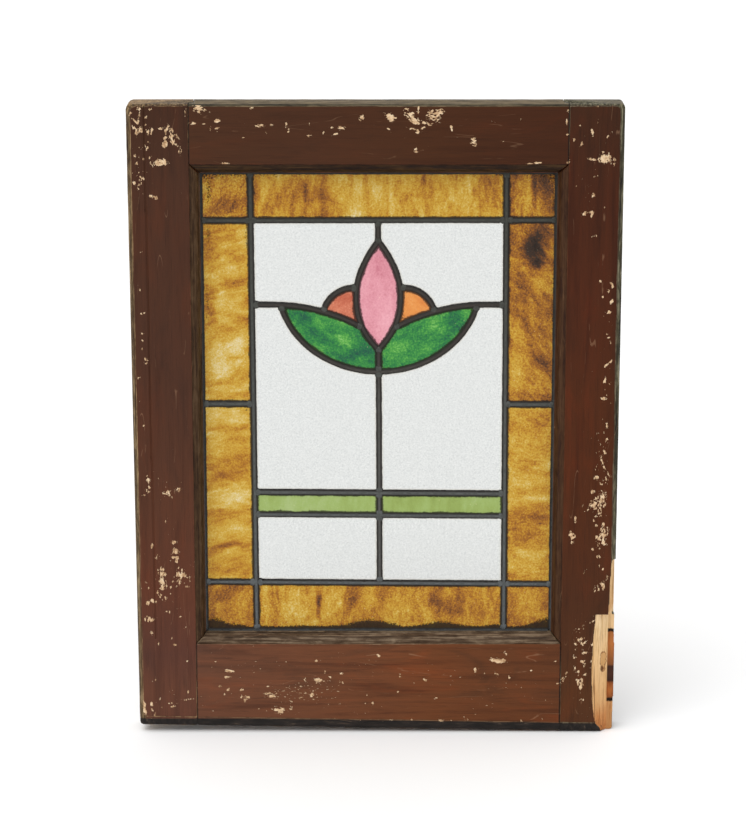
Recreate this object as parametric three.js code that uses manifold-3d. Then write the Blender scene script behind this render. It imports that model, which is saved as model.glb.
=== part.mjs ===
// A leaded glass window: a panel of coloured and clear glass held in lead cames, in its old wooden sash.
//
// Millimetres, +Z up. The front faces -Y and +X is to the right as seen from the front.
// The origin is the middle of the underside, on the centre plane of the sash's thickness.

import * as THREE from 'three';
import { mergeVertices } from 'three/addons/utils/BufferGeometryUtils.js';
import Module from 'manifold-3d';

const wasm = await Module();
wasm.setup();

// ---- Driving dimensions: the sash ----

const SASH_WIDTH = 487;
const SASH_TOP = 646.2;
const SASH_THICKNESS = 35;
const UNDERSIDE_SLOPE = 0.0154; // the underside was planed out of square, lower at the right
const LEFT_EDGE_LEAN = { foot: 0.7, head: -1.4 }; // the left edge leans outwards towards the head
const LEFT_STILE = 60; // widths of the flat faces
const RIGHT_STILE = 55;
const TOP_RAIL = 59.5;
const BOTTOM_RAIL = 92.5;
const STICKING = 10; // the moulding worked on the inner edges, at the front
const RABBET_WALL = 4; // how far the wood behind the moulding reaches into the opening
const RABBET_FLOOR = -2.9; // the face that the glass panel is bedded against
const JOINT_GAP = 0.2;

const BEVEL = { left: 4.5, right: 5, top: 2, bottom: 10.6, depth: 4.5 }; // worn and planed outer arrises
const CORNER_RADIUS = { topLeft: 6, topRight: 4, bottomRight: 3, bottomLeft: 4 };

const TENON_THICKNESS = 11.6;
const TENON_CLEARANCE = 0.25;
const TOP_TENON = { from: 601, to: 635, left: -244.4, right: 243.3, slack: 0 };
const BOTTOM_TENON = { from: 31.5, to: 89, left: -242.7, right: 244.4, slack: 3 }; // proud at the right

const GROOVE = { width: 3, depth: 1.3, bottom: 98, xBottom: -224.4, xTop: -226.6 };

// ---- Driving dimensions: the panel ----

const GLASS_THICKNESS = 3;
const CAME_WIDTH = 5.2;
const EDGE_CAME_WIDTH = 8;
const CAME_THICKNESS = 5.4;
const CAME_HEART = 1.4;
const CAME_CHANNEL = 3.3;
const GLASS_SETBACK = 1.1; // from a came's centre line to the edge of the glass
const CAME_GAP = 0.2; // between a came's end and the came that it butts against

const EDGE_LINE = 8.3; // centre line of the edge cames, measured into the opening from its front arris

// The panel was laid out by eye, so its leads lean a little. An upright is given as its x at the foot and
// at the head of the opening, a level lead as its z at the left and at the right.
const UPRIGHT = {
  borderLeft: { foot: -121.9, head: -124.3 },
  motif: { foot: 4.1, head: 1.7 },
  borderRight: { foot: 130.6, head: 128.6 },
};
const LEVEL = {
  foot: { left: 154.3, right: 151.6 },
  bandLower: { left: 226.2, right: 223.4 },
  bandUpper: { left: 249.6, right: 247.1 },
  side: { left: 341.4, right: 340.6 },
  head: { left: 528.2, right: 528.6 },
};

const PETAL = { x: 2.3, reach: 22.2, top: 507.4, widest: 452.2, bottom: 397.2 };
const PETAL_POWER = { upper: 1.9, lower: 2.4 }; // how full its curve is above and below the widest point
const BOWL = { x: 2.85, reach: 100.3, height: 88, bottom: 374.3 };
const LEAF_TOP = { level: 442.9, straightTo: 106, radius: 186 };
const SEPAL = { x: 2.85, reach: 25.3, level: 429.2, radius: 30.8 };

const FRONT = -SASH_THICKNESS / 2;
const BACK = SASH_THICKNESS / 2;
const OPENING = {
  left: -SASH_WIDTH / 2 + LEFT_STILE,
  right: SASH_WIDTH / 2 - RIGHT_STILE,
  bottom: BOTTOM_RAIL,
  top: SASH_TOP - TOP_RAIL,
};
const OVERSIZE = 8; // how far a blank sticks out before it is cut to its outline

const point = (x, y) => new THREE.Vector2(x, y);

// ---- Solids ----

function solid(geometry) {
  geometry.deleteAttribute('normal');
  geometry.deleteAttribute('uv');
  const merged = mergeVertices(geometry);
  return new wasm.Manifold(
    new wasm.Mesh({
      numProp: 3,
      vertProperties: new Float32Array(merged.attributes.position.array),
      triVerts: new Uint32Array(merged.index.array),
    }),
  );
}

function geometryOf(manifold) {
  const mesh = manifold.getMesh();
  const geometry = new THREE.BufferGeometry();
  geometry.setAttribute('position', new THREE.BufferAttribute(new Float32Array(mesh.vertProperties), 3));
  geometry.setIndex(new THREE.BufferAttribute(new Uint32Array(mesh.triVerts), 1));
  return geometry;
}

function largest(manifold) {
  return manifold.decompose().reduce((best, piece) => (piece.volume() > best.volume() ? piece : best));
}

function extrude(points, depth) {
  const shape = new THREE.Shape(points);
  return new THREE.ExtrudeGeometry(shape, { depth, bevelEnabled: false, steps: 1 });
}

// A plan section, in x and y, carried upwards.
function raised(points, bottom, top) {
  return extrude(points, top - bottom).translate(0, 0, bottom);
}

function block(x, y, z) {
  const geometry = new THREE.BoxGeometry(x[1] - x[0], y[1] - y[0], z[1] - z[0]);
  return geometry.translate((x[0] + x[1]) / 2, (y[0] + y[1]) / 2, (z[0] + z[1]) / 2);
}

// A closed skin over rings of points, all with the same count, with flat caps on the first and last.
// Each ring runs anticlockwise as seen looking back from the rings after it.
function loft(rings) {
  const count = rings[0].length;
  const position = rings.flat().flatMap((p) => [p.x, p.y, p.z]);
  const index = [];
  for (let ring = 0; ring + 1 < rings.length; ring += 1) {
    for (let i = 0; i < count; i += 1) {
      const a = ring * count + i;
      const b = ring * count + ((i + 1) % count);
      index.push(a, b, b + count, a, b + count, a + count);
    }
  }
  const last = (rings.length - 1) * count;
  for (let i = 1; i + 1 < count; i += 1) {
    index.push(0, i + 1, i, last, last + i, last + i + 1);
  }
  const geometry = new THREE.BufferGeometry();
  geometry.setAttribute('position', new THREE.Float32BufferAttribute(position, 3));
  geometry.setIndex(index);
  return geometry;
}

// ---- The sash ----

// The sash's outline as seen from the front, with round corners, drawn in by the given bevels.
function outline(y, inset) {
  const foot = -SASH_WIDTH / 2 + LEFT_EDGE_LEAN.foot + inset.left;
  const head = -SASH_WIDTH / 2 + LEFT_EDGE_LEAN.head + inset.left;
  const right = SASH_WIDTH / 2 - inset.right;
  const top = SASH_TOP - inset.top;
  const underside = (x) => inset.bottom - UNDERSIDE_SLOPE * x;
  const radii = CORNER_RADIUS;
  const corners = [
    { x: foot, z: underside(foot), radius: radii.bottomLeft, start: Math.PI, inX: 1, inZ: 1 },
    { x: right, z: underside(right), radius: radii.bottomRight, start: 1.5 * Math.PI, inX: -1, inZ: 1 },
    { x: right, z: top, radius: radii.topRight, start: 0, inX: -1, inZ: -1 },
    { x: head, z: top, radius: radii.topLeft, start: Math.PI / 2, inX: 1, inZ: -1 },
  ];
  const steps = 3;
  const ring = [];
  for (const corner of corners) {
    for (let i = 0; i <= steps; i += 1) {
      const angle = corner.start + (i / steps) * (Math.PI / 2);
      const x = corner.x + corner.inX * corner.radius + corner.radius * Math.cos(angle);
      const z = corner.z + corner.inZ * corner.radius + corner.radius * Math.sin(angle);
      ring.push(new THREE.Vector3(x, y, z));
    }
  }
  return ring;
}

function sashForm() {
  const none = { left: 0, right: 0, top: 0, bottom: 0 };
  return solid(loft([outline(BACK, none), outline(FRONT + BEVEL.depth, none), outline(FRONT, BEVEL)]));
}

const CENTRE_X = (OPENING.left + OPENING.right) / 2;
const CENTRE_Z = (OPENING.bottom + OPENING.top) / 2;
const HALF_WIDTH = (OPENING.right - OPENING.left) / 2;
const HALF_HEIGHT = (OPENING.top - OPENING.bottom) / 2;

const SIDES = {
  left: { angle: 0, reach: HALF_WIDTH, half: HALF_HEIGHT },
  right: { angle: Math.PI, reach: HALF_WIDTH, half: HALF_HEIGHT },
  bottom: { angle: -Math.PI / 2, reach: HALF_HEIGHT, half: HALF_WIDTH },
  top: { angle: Math.PI / 2, reach: HALF_HEIGHT, half: HALF_WIDTH },
};

// A moulding along one side of the opening, mitred at both ends. Its section is given as the distance
// into the opening, and y.
function mitredStrip(section, side) {
  const { angle, reach, half } = SIDES[side];
  const geometry = extrude(section, 2 * half).translate(0, 0, -half);
  const position = geometry.attributes.position;
  for (let i = 0; i < position.count; i += 1) {
    const end = half - position.getX(i) - JOINT_GAP;
    position.setZ(i, Math.sign(position.getZ(i)) * end);
  }
  return geometry.translate(-reach, 0, 0).rotateY(angle).translate(CENTRE_X, 0, CENTRE_Z);
}

// Fillet, quarter-round ovolo, fillet, and the flat back that the panel is bedded against.
function stickingSection() {
  const fillet = { depth: 1.5, width: 0.6 };
  const innerFillet = { depth: 10.3, width: 1.4 };
  const run = STICKING - innerFillet.width - fillet.width;
  const fall = innerFillet.depth - fillet.depth;
  const steps = 5;
  const section = [point(0, FRONT + fillet.depth)];
  for (let i = 0; i <= steps; i += 1) {
    const angle = (i / steps) * (Math.PI / 2);
    const depth = fillet.depth + fall * (1 - Math.cos(angle));
    section.push(point(fillet.width + run * Math.sin(angle), FRONT + depth));
  }
  section.push(point(STICKING, FRONT + innerFillet.depth));
  section.push(point(STICKING, RABBET_FLOOR));
  section.push(point(0, RABBET_FLOOR));
  return section;
}

function mortise(tenon, x) {
  const y = TENON_THICKNESS / 2 + TENON_CLEARANCE;
  const bottom = tenon.from - TENON_CLEARANCE - tenon.slack;
  return solid(block(x, [-y, y], [bottom, tenon.to + TENON_CLEARANCE]));
}

// A stile runs the full height. inward is +1 for the left one, -1 for the right one.
function stile(side, outer, arris, inward) {
  const wall = arris + inward * RABBET_WALL;
  const blank = outer - inward * OVERSIZE;
  const section = [
    point(blank, FRONT - OVERSIZE),
    point(arris, FRONT - OVERSIZE),
    point(arris, RABBET_FLOOR),
    point(wall, RABBET_FLOOR),
    point(wall, BACK + OVERSIZE),
    point(blank, BACK + OVERSIZE),
  ];
  const through = [Math.min(blank, wall) - 1, Math.max(blank, wall) + 1];
  return solid(raised(section, -2 * OVERSIZE, SASH_TOP + OVERSIZE))
    .add(solid(mitredStrip(stickingSection(), side)))
    .subtract(mortise(TOP_TENON, through))
    .subtract(mortise(BOTTOM_TENON, through))
    .intersect(sashForm());
}

// A rail fits between the stiles and is tenoned right through them. outer is its free edge, and inward
// is +1 for the bottom rail, -1 for the top one.
function rail(side, outer, arris, inward, tenon) {
  const span = (inset) => [OPENING.left + inset + JOINT_GAP, OPENING.right - inset - JOINT_GAP];
  const heights = (edge) => [Math.min(outer, edge), Math.max(outer, edge)];
  const wall = arris + inward * RABBET_WALL;
  const front = block(span(0), [FRONT - OVERSIZE, RABBET_FLOOR], heights(arris));
  const rear = block(span(RABBET_WALL), [RABBET_FLOOR, BACK + OVERSIZE], heights(wall));
  const cheeks = [-TENON_THICKNESS / 2, TENON_THICKNESS / 2];
  return solid(front)
    .add(solid(rear))
    .add(solid(mitredStrip(stickingSection(), side)))
    .intersect(sashForm())
    .add(solid(block([tenon.left, tenon.right], cheeks, [tenon.from, tenon.to])));
}

// The shallow groove scraped down the face of the left stile, 17 mm in from its edge.
function grooveCutter() {
  const ahead = 0.4;
  const half = (GROOVE.width / 2) * (1 + ahead / GROOVE.depth);
  const ring = (x, z) => [
    new THREE.Vector3(x - half, FRONT - ahead, z),
    new THREE.Vector3(x + half, FRONT - ahead, z),
    new THREE.Vector3(x, FRONT + GROOVE.depth, z),
  ];
  return solid(loft([ring(GROOVE.xBottom, GROOVE.bottom), ring(GROOVE.xTop, SASH_TOP + OVERSIZE)]));
}

// The foot of the right stile is split away down to the tenon's cheek. The broken face slopes back from
// the front, between two ragged lines that are given here at several heights.
const BREAK_DEPTH = 11.4;
const BREAK_LINE = [
  { z: -12, front: 231, back: 236.8 },
  { z: 1, front: 228.4, back: 236.8 },
  { z: 8, front: 225.4, back: 236.8 },
  { z: 18, front: 223.4, back: 236.8 },
  { z: 36, front: 221.8, back: 236.8 },
  { z: 68, front: 220.9, back: 237.1 },
  { z: 98, front: 221.9, back: 237.6 },
  { z: 123.5, front: 223.8, back: 238.1 },
];

function breakCutter() {
  const outside = SASH_WIDTH / 2 + OVERSIZE;
  const ahead = 3;
  const rings = BREAK_LINE.map(({ z, front, back }) => {
    const slope = (back - front) / BREAK_DEPTH;
    return [
      new THREE.Vector3(front - slope * ahead, FRONT - ahead, z),
      new THREE.Vector3(outside, FRONT - ahead, z),
      new THREE.Vector3(outside, FRONT + BREAK_DEPTH, z),
      new THREE.Vector3(back, FRONT + BREAK_DEPTH, z),
    ];
  });
  return solid(loft(rings));
}

// A long splinter is lost from the outer arris above the break. It opens from the face to the edge, where
// it bites in deeper towards the foot.
const SPLINTER_DEPTH = { face: 8.5, full: 20.5 };
const SPLINTER_LINE = [
  { z: 121, front: 236.9, edge: 241 },
  { z: 156, front: 237.9, edge: 241.2 },
  { z: 181.5, front: 239.2, edge: 242.2 },
];

function splinterCutter() {
  const outside = SASH_WIDTH / 2 + OVERSIZE;
  const ahead = 2;
  const rings = SPLINTER_LINE.map(({ z, front, edge }) => {
    const slope = (edge - front) / SPLINTER_DEPTH.face;
    return [
      new THREE.Vector3(front - slope * ahead, FRONT - ahead, z),
      new THREE.Vector3(outside, FRONT - ahead, z),
      new THREE.Vector3(outside, FRONT + SPLINTER_DEPTH.full, z),
      new THREE.Vector3(edge + 0.2, FRONT + SPLINTER_DEPTH.full, z),
      new THREE.Vector3(edge, FRONT + SPLINTER_DEPTH.face, z),
    ];
  });
  return solid(loft(rings));
}

// ---- The beads that hold the panel in from behind ----

function beadSection() {
  const wall = RABBET_WALL + JOINT_GAP;
  const seat = CAME_THICKNESS / 2 + JOINT_GAP;
  const width = 6.2;
  const height = 10.5;
  const land = 1; // the flat left beside the wall
  const flat = 4;
  const steps = 4;
  const section = [point(wall, seat), point(wall + width, seat)];
  for (let i = 0; i <= steps; i += 1) {
    const angle = (i / steps) * (Math.PI / 2);
    const across = land + (width - land) * Math.cos(angle);
    section.push(point(wall + across, seat + flat + (height - flat) * Math.sin(angle)));
  }
  section.push(point(wall, seat + height));
  return section;
}

// ---- Lead lines, as centre lines in x and z ----

const EDGE = {
  left: OPENING.left + EDGE_LINE,
  right: OPENING.right - EDGE_LINE,
  bottom: OPENING.bottom + EDGE_LINE,
  top: OPENING.top - EDGE_LINE,
};

// side is -1 for the left half of the motif, +1 for the right half.
function petalLine(side) {
  const steps = 22;
  const line = [];
  for (let i = 0; i <= steps; i += 1) {
    const z = THREE.MathUtils.lerp(PETAL.top, PETAL.bottom, i / steps);
    const above = z > PETAL.widest;
    const span = above ? PETAL.top - PETAL.widest : PETAL.widest - PETAL.bottom;
    const power = above ? PETAL_POWER.upper : PETAL_POWER.lower;
    const share = Math.abs(z - PETAL.widest) / span;
    line.push(point(PETAL.x + side * PETAL.reach * (1 - share ** power), z));
  }
  return line;
}

function arcLine(x, z, reach, height, from, to, steps) {
  const line = [];
  for (let i = 0; i <= steps; i += 1) {
    const angle = THREE.MathUtils.degToRad(THREE.MathUtils.lerp(from, to, i / steps));
    line.push(point(x + reach * Math.cos(angle), z + height * Math.sin(angle)));
  }
  return line;
}

// Level from the border to the leaf's tip, then bending down along the top of the leaf.
function leafLine(side, border) {
  const { level, straightTo, radius } = LEAF_TOP;
  const bendX = BOWL.x + side * straightTo;
  const start = crossing([point(bendX, level), point(bendX + side * straightTo, level)], border).at;
  const bend = side < 0 ? [90, 58] : [90, 122];
  const arc = arcLine(bendX, level - radius, radius, radius, bend[0], bend[1], 14);
  return [start, point((start.x + bendX) / 2, level), ...arc];
}

function sepalLine(side) {
  const sweep = side < 0 ? [40, 190] : [140, -10];
  const x = SEPAL.x + side * SEPAL.reach;
  return arcLine(x, SEPAL.level, SEPAL.radius, SEPAL.radius, sweep[0], sweep[1], 16);
}

// The rounded underside of the two leaves, from tip to tip.
function bowlLine() {
  const middle = BOWL.bottom + BOWL.height;
  const tip = THREE.MathUtils.radToDeg(Math.asin((middle - LEAF_TOP.level) / BOWL.height));
  return arcLine(BOWL.x, middle, BOWL.reach, BOWL.height, 180 + tip, 360 - tip, 34);
}

// Where two lines cross, as the first line's segment and the point itself.
function crossing(line, other) {
  for (let i = 0; i + 1 < line.length; i += 1) {
    for (let j = 0; j + 1 < other.length; j += 1) {
      const p = line[i];
      const q = other[j];
      const r = line[i + 1].clone().sub(p);
      const s = other[j + 1].clone().sub(q);
      const area = r.cross(s);
      const gap = q.clone().sub(p);
      const t = gap.cross(s) / area;
      const u = gap.cross(r) / area;
      if (area !== 0 && t >= 0 && t <= 1 && u >= 0 && u <= 1) {
        return { segment: i, at: p.clone().addScaledVector(r, t) };
      }
    }
  }
  throw new Error('two lead lines that should cross do not');
}

function upTo(line, other) {
  const { segment, at } = crossing(line, other);
  return line.slice(0, segment + 1).concat([at]);
}

function from(line, other) {
  return upTo([...line].reverse(), other).reverse();
}

function edgeLines() {
  const beyond = EDGE_CAME_WIDTH / 2;
  return {
    came_edge_left: [point(EDGE.left, EDGE.bottom - beyond), point(EDGE.left, EDGE.top + beyond)],
    came_edge_right: [point(EDGE.right, EDGE.bottom - beyond), point(EDGE.right, EDGE.top + beyond)],
    came_edge_bottom: [point(EDGE.left, EDGE.bottom), point(EDGE.right, EDGE.bottom)],
    came_edge_top: [point(EDGE.left, EDGE.top), point(EDGE.right, EDGE.top)],
  };
}

// Straight leads right across the opening, drawn a little past it, and the stretch between two others.
const OVERRUN = 1;
const upright = ({ foot, head }) => [point(foot, EDGE.bottom - OVERRUN), point(head, EDGE.top + OVERRUN)];
const level = ({ left, right }) => [point(EDGE.left - OVERRUN, left), point(EDGE.right + OVERRUN, right)];
const between = (line, a, b) => [crossing(line, a).at, crossing(line, b).at];

function leadLines(edges) {
  const edge = { left: edges.came_edge_left, right: edges.came_edge_right };
  const border = { left: upright(UPRIGHT.borderLeft), right: upright(UPRIGHT.borderRight) };
  const motif = upright(UPRIGHT.motif);
  const [foot, bandLower, bandUpper, side, head] = Object.values(LEVEL).map(level);
  const petal = { left: petalLine(-1), right: petalLine(1) };
  const leaf = {
    left: upTo(leafLine(-1, border.left), petal.left),
    right: upTo(leafLine(1, border.right), petal.right),
  };
  const sepal = {
    left: from(upTo(sepalLine(-1), leaf.left), petal.left),
    right: from(upTo(sepalLine(1), leaf.right), petal.right),
  };
  const bowl = bowlLine();
  const topEdge = edges.came_edge_top;
  const bottomEdge = edges.came_edge_bottom;
  return {
    came_border_left: between(border.left, bottomEdge, topEdge),
    came_border_right: between(border.right, bottomEdge, topEdge),
    came_head_left: between(head, edge.left, border.left),
    came_head: between(head, border.left, border.right),
    came_head_right: between(head, border.right, edge.right),
    came_side_left: between(side, edge.left, border.left),
    came_side_right: between(side, border.right, edge.right),
    came_foot_left: between(foot, edge.left, border.left),
    came_foot: between(foot, border.left, border.right),
    came_foot_right: between(foot, border.right, edge.right),
    came_band_upper: between(bandUpper, border.left, border.right),
    came_band_lower: between(bandLower, border.left, border.right),
    came_petal_left: petal.left,
    came_petal_right: petal.right,
    came_leaf_left: leaf.left,
    came_leaf_right: leaf.right,
    came_sepal_left: sepal.left,
    came_sepal_right: sepal.right,
    came_bowl: bowl,
    came_leaf_divider: [point(PETAL.x, PETAL.bottom), crossing(motif, bowl).at],
    came_tip: [crossing(motif, head).at, point(PETAL.x, PETAL.top)],
    came_stem: between(motif, bowl, bandUpper),
    came_band_divider: between(motif, bandUpper, bandLower),
    came_root: between(motif, bandLower, foot),
  };
}

// ---- Cames ----

// The lead's section: two domed faces joined by a narrow heart, given as depth and distance across.
function cameSection(width) {
  const half = width / 2;
  const crown = CAME_THICKNESS / 2;
  const lip = CAME_CHANNEL / 2;
  const heart = CAME_HEART / 2;
  const face = [
    point(lip, heart),
    point(lip, half),
    point(crown - 0.55, half),
    point(crown - 0.15, half * 0.6),
    point(crown, 0),
    point(crown - 0.15, -half * 0.6),
    point(crown - 0.55, -half),
    point(lip, -half),
    point(lip, -heart),
  ];
  return face.concat(face.map((p) => point(-p.x, -p.y)));
}

// A section carried along a centre line in the panel's plane. It is swept lying flat, which keeps its
// depth square to the panel, and then stood up.
function swept(section, line) {
  const path = line.map((p) => new THREE.Vector3(p.x, p.y, 0));
  const straight = line.length === 2;
  const curve = straight ? new THREE.LineCurve3(path[0], path[1]) : new THREE.CatmullRomCurve3(path);
  const steps = straight ? 1 : Math.max(4, Math.round(curve.getLength() / 6));
  const shape = new THREE.Shape(section);
  return new THREE.ExtrudeGeometry(shape, { steps, extrudePath: curve }).rotateX(Math.PI / 2);
}

// The room a came takes up, with the gap that its neighbours keep from it.
function cameRoom(line, width) {
  const half = width / 2 + CAME_GAP;
  const deep = CAME_THICKNESS;
  const section = [point(-deep, -half), point(deep, -half), point(deep, half), point(-deep, half)];
  return solid(swept(section, line));
}

// Which cames each one butts against. The rest run between the panel's straight leads.
const BUTTS = {
  came_petal_right: ['came_petal_left'],
  came_leaf_left: ['came_petal_left', 'came_border_left'],
  came_leaf_right: ['came_petal_right', 'came_border_right'],
  came_sepal_left: ['came_petal_left', 'came_leaf_left'],
  came_sepal_right: ['came_petal_right', 'came_leaf_right'],
  came_bowl: ['came_leaf_left', 'came_leaf_right'],
  came_leaf_divider: ['came_petal_left', 'came_petal_right', 'came_bowl'],
  came_tip: ['came_head', 'came_petal_left', 'came_petal_right'],
  came_stem: ['came_bowl', 'came_band_upper'],
  came_band_divider: ['came_band_upper', 'came_band_lower'],
  came_root: ['came_band_lower', 'came_foot'],
  came_head: ['came_border_left', 'came_border_right'],
  came_foot: ['came_border_left', 'came_border_right'],
  came_band_upper: ['came_border_left', 'came_border_right'],
  came_band_lower: ['came_border_left', 'came_border_right'],
  came_head_left: ['came_edge_left', 'came_border_left'],
  came_side_left: ['came_edge_left', 'came_border_left'],
  came_foot_left: ['came_edge_left', 'came_border_left'],
  came_head_right: ['came_border_right', 'came_edge_right'],
  came_side_right: ['came_border_right', 'came_edge_right'],
  came_foot_right: ['came_border_right', 'came_edge_right'],
  came_border_left: ['came_edge_bottom', 'came_edge_top'],
  came_border_right: ['came_edge_bottom', 'came_edge_top'],
  came_edge_bottom: ['came_edge_left', 'came_edge_right'],
  came_edge_top: ['came_edge_left', 'came_edge_right'],
};

function cames(edges, leads) {
  const lines = { ...edges, ...leads };
  const widthOf = (name) => (name in edges ? EDGE_CAME_WIDTH : CAME_WIDTH);
  const made = {};
  for (const [name, line] of Object.entries(lines)) {
    let came = solid(swept(cameSection(widthOf(name)), line));
    for (const neighbour of BUTTS[name] ?? []) {
      came = came.subtract(cameRoom(lines[neighbour], widthOf(neighbour)));
    }
    made[name] = largest(came);
  }
  return made;
}

// ---- Glass ----

// The whole panel is laid out as one sheet and cut along the middle of every lead.
function cutGlass(leads) {
  const half = GLASS_THICKNESS / 2;
  const x = [EDGE.left + GLASS_SETBACK, EDGE.right - GLASS_SETBACK];
  const z = [EDGE.bottom + GLASS_SETBACK, EDGE.top - GLASS_SETBACK];
  let sheet = solid(block(x, [-half, half], z));
  const section = [
    point(-GLASS_THICKNESS, -GLASS_SETBACK),
    point(GLASS_THICKNESS, -GLASS_SETBACK),
    point(GLASS_THICKNESS, GLASS_SETBACK),
    point(-GLASS_THICKNESS, GLASS_SETBACK),
  ];
  for (const line of Object.values(leads)) {
    sheet = sheet.subtract(solid(swept(section, line)));
  }
  return sheet.decompose();
}

// A point inside each pane, to tell the cut pieces apart.
function paneSeeds() {
  const middle = (a, b) => (a + b) / 2;
  const [left, motif, right] = Object.values(UPRIGHT).map(({ foot, head }) => middle(foot, head));
  const [foot, bandLower, bandUpper, side, head] = Object.values(LEVEL).map((z) => middle(z.left, z.right));
  const xs = {
    left: middle(EDGE.left, left),
    middle: motif,
    right: middle(right, EDGE.right),
    innerLeft: middle(left, motif),
    innerRight: middle(motif, right),
  };
  const zs = {
    foot: middle(EDGE.bottom, foot),
    head: middle(head, EDGE.top),
    lower: middle(foot, side),
    upper: middle(side, head),
    bottom: middle(foot, bandLower),
    band: middle(bandLower, bandUpper),
    mid: middle(bandUpper, BOWL.bottom),
    top: middle(PETAL.top, head),
  };
  const leafX = SEPAL.reach + SEPAL.radius;
  const leafZ = LEAF_TOP.level - SEPAL.radius;
  const sepalZ = SEPAL.level + SEPAL.radius / 2;
  return {
    amber_foot_left: [xs.left, zs.foot],
    amber_foot: [xs.middle, zs.foot],
    amber_foot_right: [xs.right, zs.foot],
    amber_left_lower: [xs.left, zs.lower],
    amber_left_upper: [xs.left, zs.upper],
    amber_right_lower: [xs.right, zs.lower],
    amber_right_upper: [xs.right, zs.upper],
    amber_head_left: [xs.left, zs.head],
    amber_head: [xs.middle, zs.head],
    amber_head_right: [xs.right, zs.head],
    clear_bottom_left: [xs.innerLeft, zs.bottom],
    clear_bottom_right: [xs.innerRight, zs.bottom],
    clear_middle_left: [xs.innerLeft, zs.mid],
    clear_middle_right: [xs.innerRight, zs.mid],
    clear_top_left: [xs.innerLeft, zs.top],
    clear_top_right: [xs.innerRight, zs.top],
    green_band_left: [xs.innerLeft, zs.band],
    green_band_right: [xs.innerRight, zs.band],
    leaf_left: [motif - leafX, leafZ],
    leaf_right: [motif + leafX, leafZ],
    sepal_left: [motif - SEPAL.reach - 10, sepalZ],
    sepal_right: [motif + SEPAL.reach + 10, sepalZ],
    petal: [PETAL.x, PETAL.widest],
  };
}

function panes(leads) {
  const pieces = cutGlass(leads);
  const named = {};
  for (const [name, [x, z]] of Object.entries(paneSeeds())) {
    const probe = solid(block([x - 0.5, x + 0.5], [-0.5, 0.5], [z - 0.5, z + 0.5]));
    named[name] = pieces.find((piece) => piece.intersect(probe).volume() > 0.9);
  }
  if (pieces.length !== Object.keys(named).length || Object.values(named).some((piece) => !piece)) {
    throw new Error(`the sheet was cut into ${pieces.length} pieces, which do not match the named panes`);
  }
  return named;
}

// ---- Assembly ----

const FINISHES = {
  wood: { color: 0x4a2a1c, roughness: 0.5, metalness: 0 },
  bead: { color: 0x6b4a32, roughness: 0.8, metalness: 0 },
  came: { color: 0x3a3c38, roughness: 0.55, metalness: 0.6 },
  amber: { color: 0xc08a2c, roughness: 0.25, metalness: 0 },
  clear: { color: 0xe8ebe8, roughness: 0.1, metalness: 0, transparent: true, opacity: 0.4 },
  petal: { color: 0xd987a0, roughness: 0.25, metalness: 0 },
  sepal: { color: 0xe0824e, roughness: 0.25, metalness: 0 },
  leaf: { color: 0x1f8a5a, roughness: 0.25, metalness: 0 },
  green: { color: 0x8fb85a, roughness: 0.25, metalness: 0 },
};

const sash = new THREE.Group();

function place(name, manifold, finish) {
  const mesh = new THREE.Mesh(geometryOf(manifold), new THREE.MeshStandardMaterial(FINISHES[finish]));
  mesh.name = name;
  sash.add(mesh);
}

place('left_stile', stile('left', -SASH_WIDTH / 2, OPENING.left, 1).subtract(grooveCutter()), 'wood');
const brokenStile = stile('right', SASH_WIDTH / 2, OPENING.right, -1)
  .subtract(breakCutter())
  .subtract(splinterCutter());
place('right_stile', largest(brokenStile), 'wood');
place('bottom_rail', rail('bottom', -2 * OVERSIZE, OPENING.bottom, 1, BOTTOM_TENON), 'wood');
place('top_rail', rail('top', SASH_TOP + OVERSIZE, OPENING.top, -1, TOP_TENON), 'wood');

for (const side of Object.keys(SIDES)) {
  place(`bead_${side}`, solid(mitredStrip(beadSection(), side)), 'bead');
}

const edges = edgeLines();
const leads = leadLines(edges);
for (const [name, came] of Object.entries(cames(edges, leads))) {
  place(name, came, 'came');
}
for (const [name, pane] of Object.entries(panes(leads))) {
  place(name, pane, name.split('_')[0]);
}

export default sash;
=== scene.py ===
"""The seen surface of a leaded glass window in a worn wooden sash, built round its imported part.
Lengths are in millimetres here and become metres where a mesh or a light is made."""

import math

import bmesh
import bpy
import numpy as np
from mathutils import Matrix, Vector


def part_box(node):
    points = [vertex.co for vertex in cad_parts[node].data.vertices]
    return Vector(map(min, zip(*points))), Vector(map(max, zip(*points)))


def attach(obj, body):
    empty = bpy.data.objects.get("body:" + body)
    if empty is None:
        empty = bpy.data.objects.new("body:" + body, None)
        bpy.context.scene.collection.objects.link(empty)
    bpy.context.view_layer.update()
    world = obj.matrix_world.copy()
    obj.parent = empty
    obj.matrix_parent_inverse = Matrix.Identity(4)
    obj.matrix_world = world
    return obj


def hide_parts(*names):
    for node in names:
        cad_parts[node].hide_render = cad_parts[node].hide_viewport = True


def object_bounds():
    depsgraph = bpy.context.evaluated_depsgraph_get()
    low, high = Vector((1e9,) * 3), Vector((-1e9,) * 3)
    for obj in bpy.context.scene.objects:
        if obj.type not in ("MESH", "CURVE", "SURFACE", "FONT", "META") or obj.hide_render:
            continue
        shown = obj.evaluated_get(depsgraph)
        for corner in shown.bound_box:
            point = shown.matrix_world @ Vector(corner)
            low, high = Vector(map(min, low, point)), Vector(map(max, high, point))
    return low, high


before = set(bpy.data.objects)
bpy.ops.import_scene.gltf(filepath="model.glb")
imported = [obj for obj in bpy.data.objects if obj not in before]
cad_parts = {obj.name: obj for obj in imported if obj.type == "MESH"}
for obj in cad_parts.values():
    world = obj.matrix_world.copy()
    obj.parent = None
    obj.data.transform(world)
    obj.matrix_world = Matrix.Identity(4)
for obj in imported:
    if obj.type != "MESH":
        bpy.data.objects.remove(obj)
bounds_at_load = [list(corner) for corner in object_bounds()]
MM = 0.001

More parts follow.
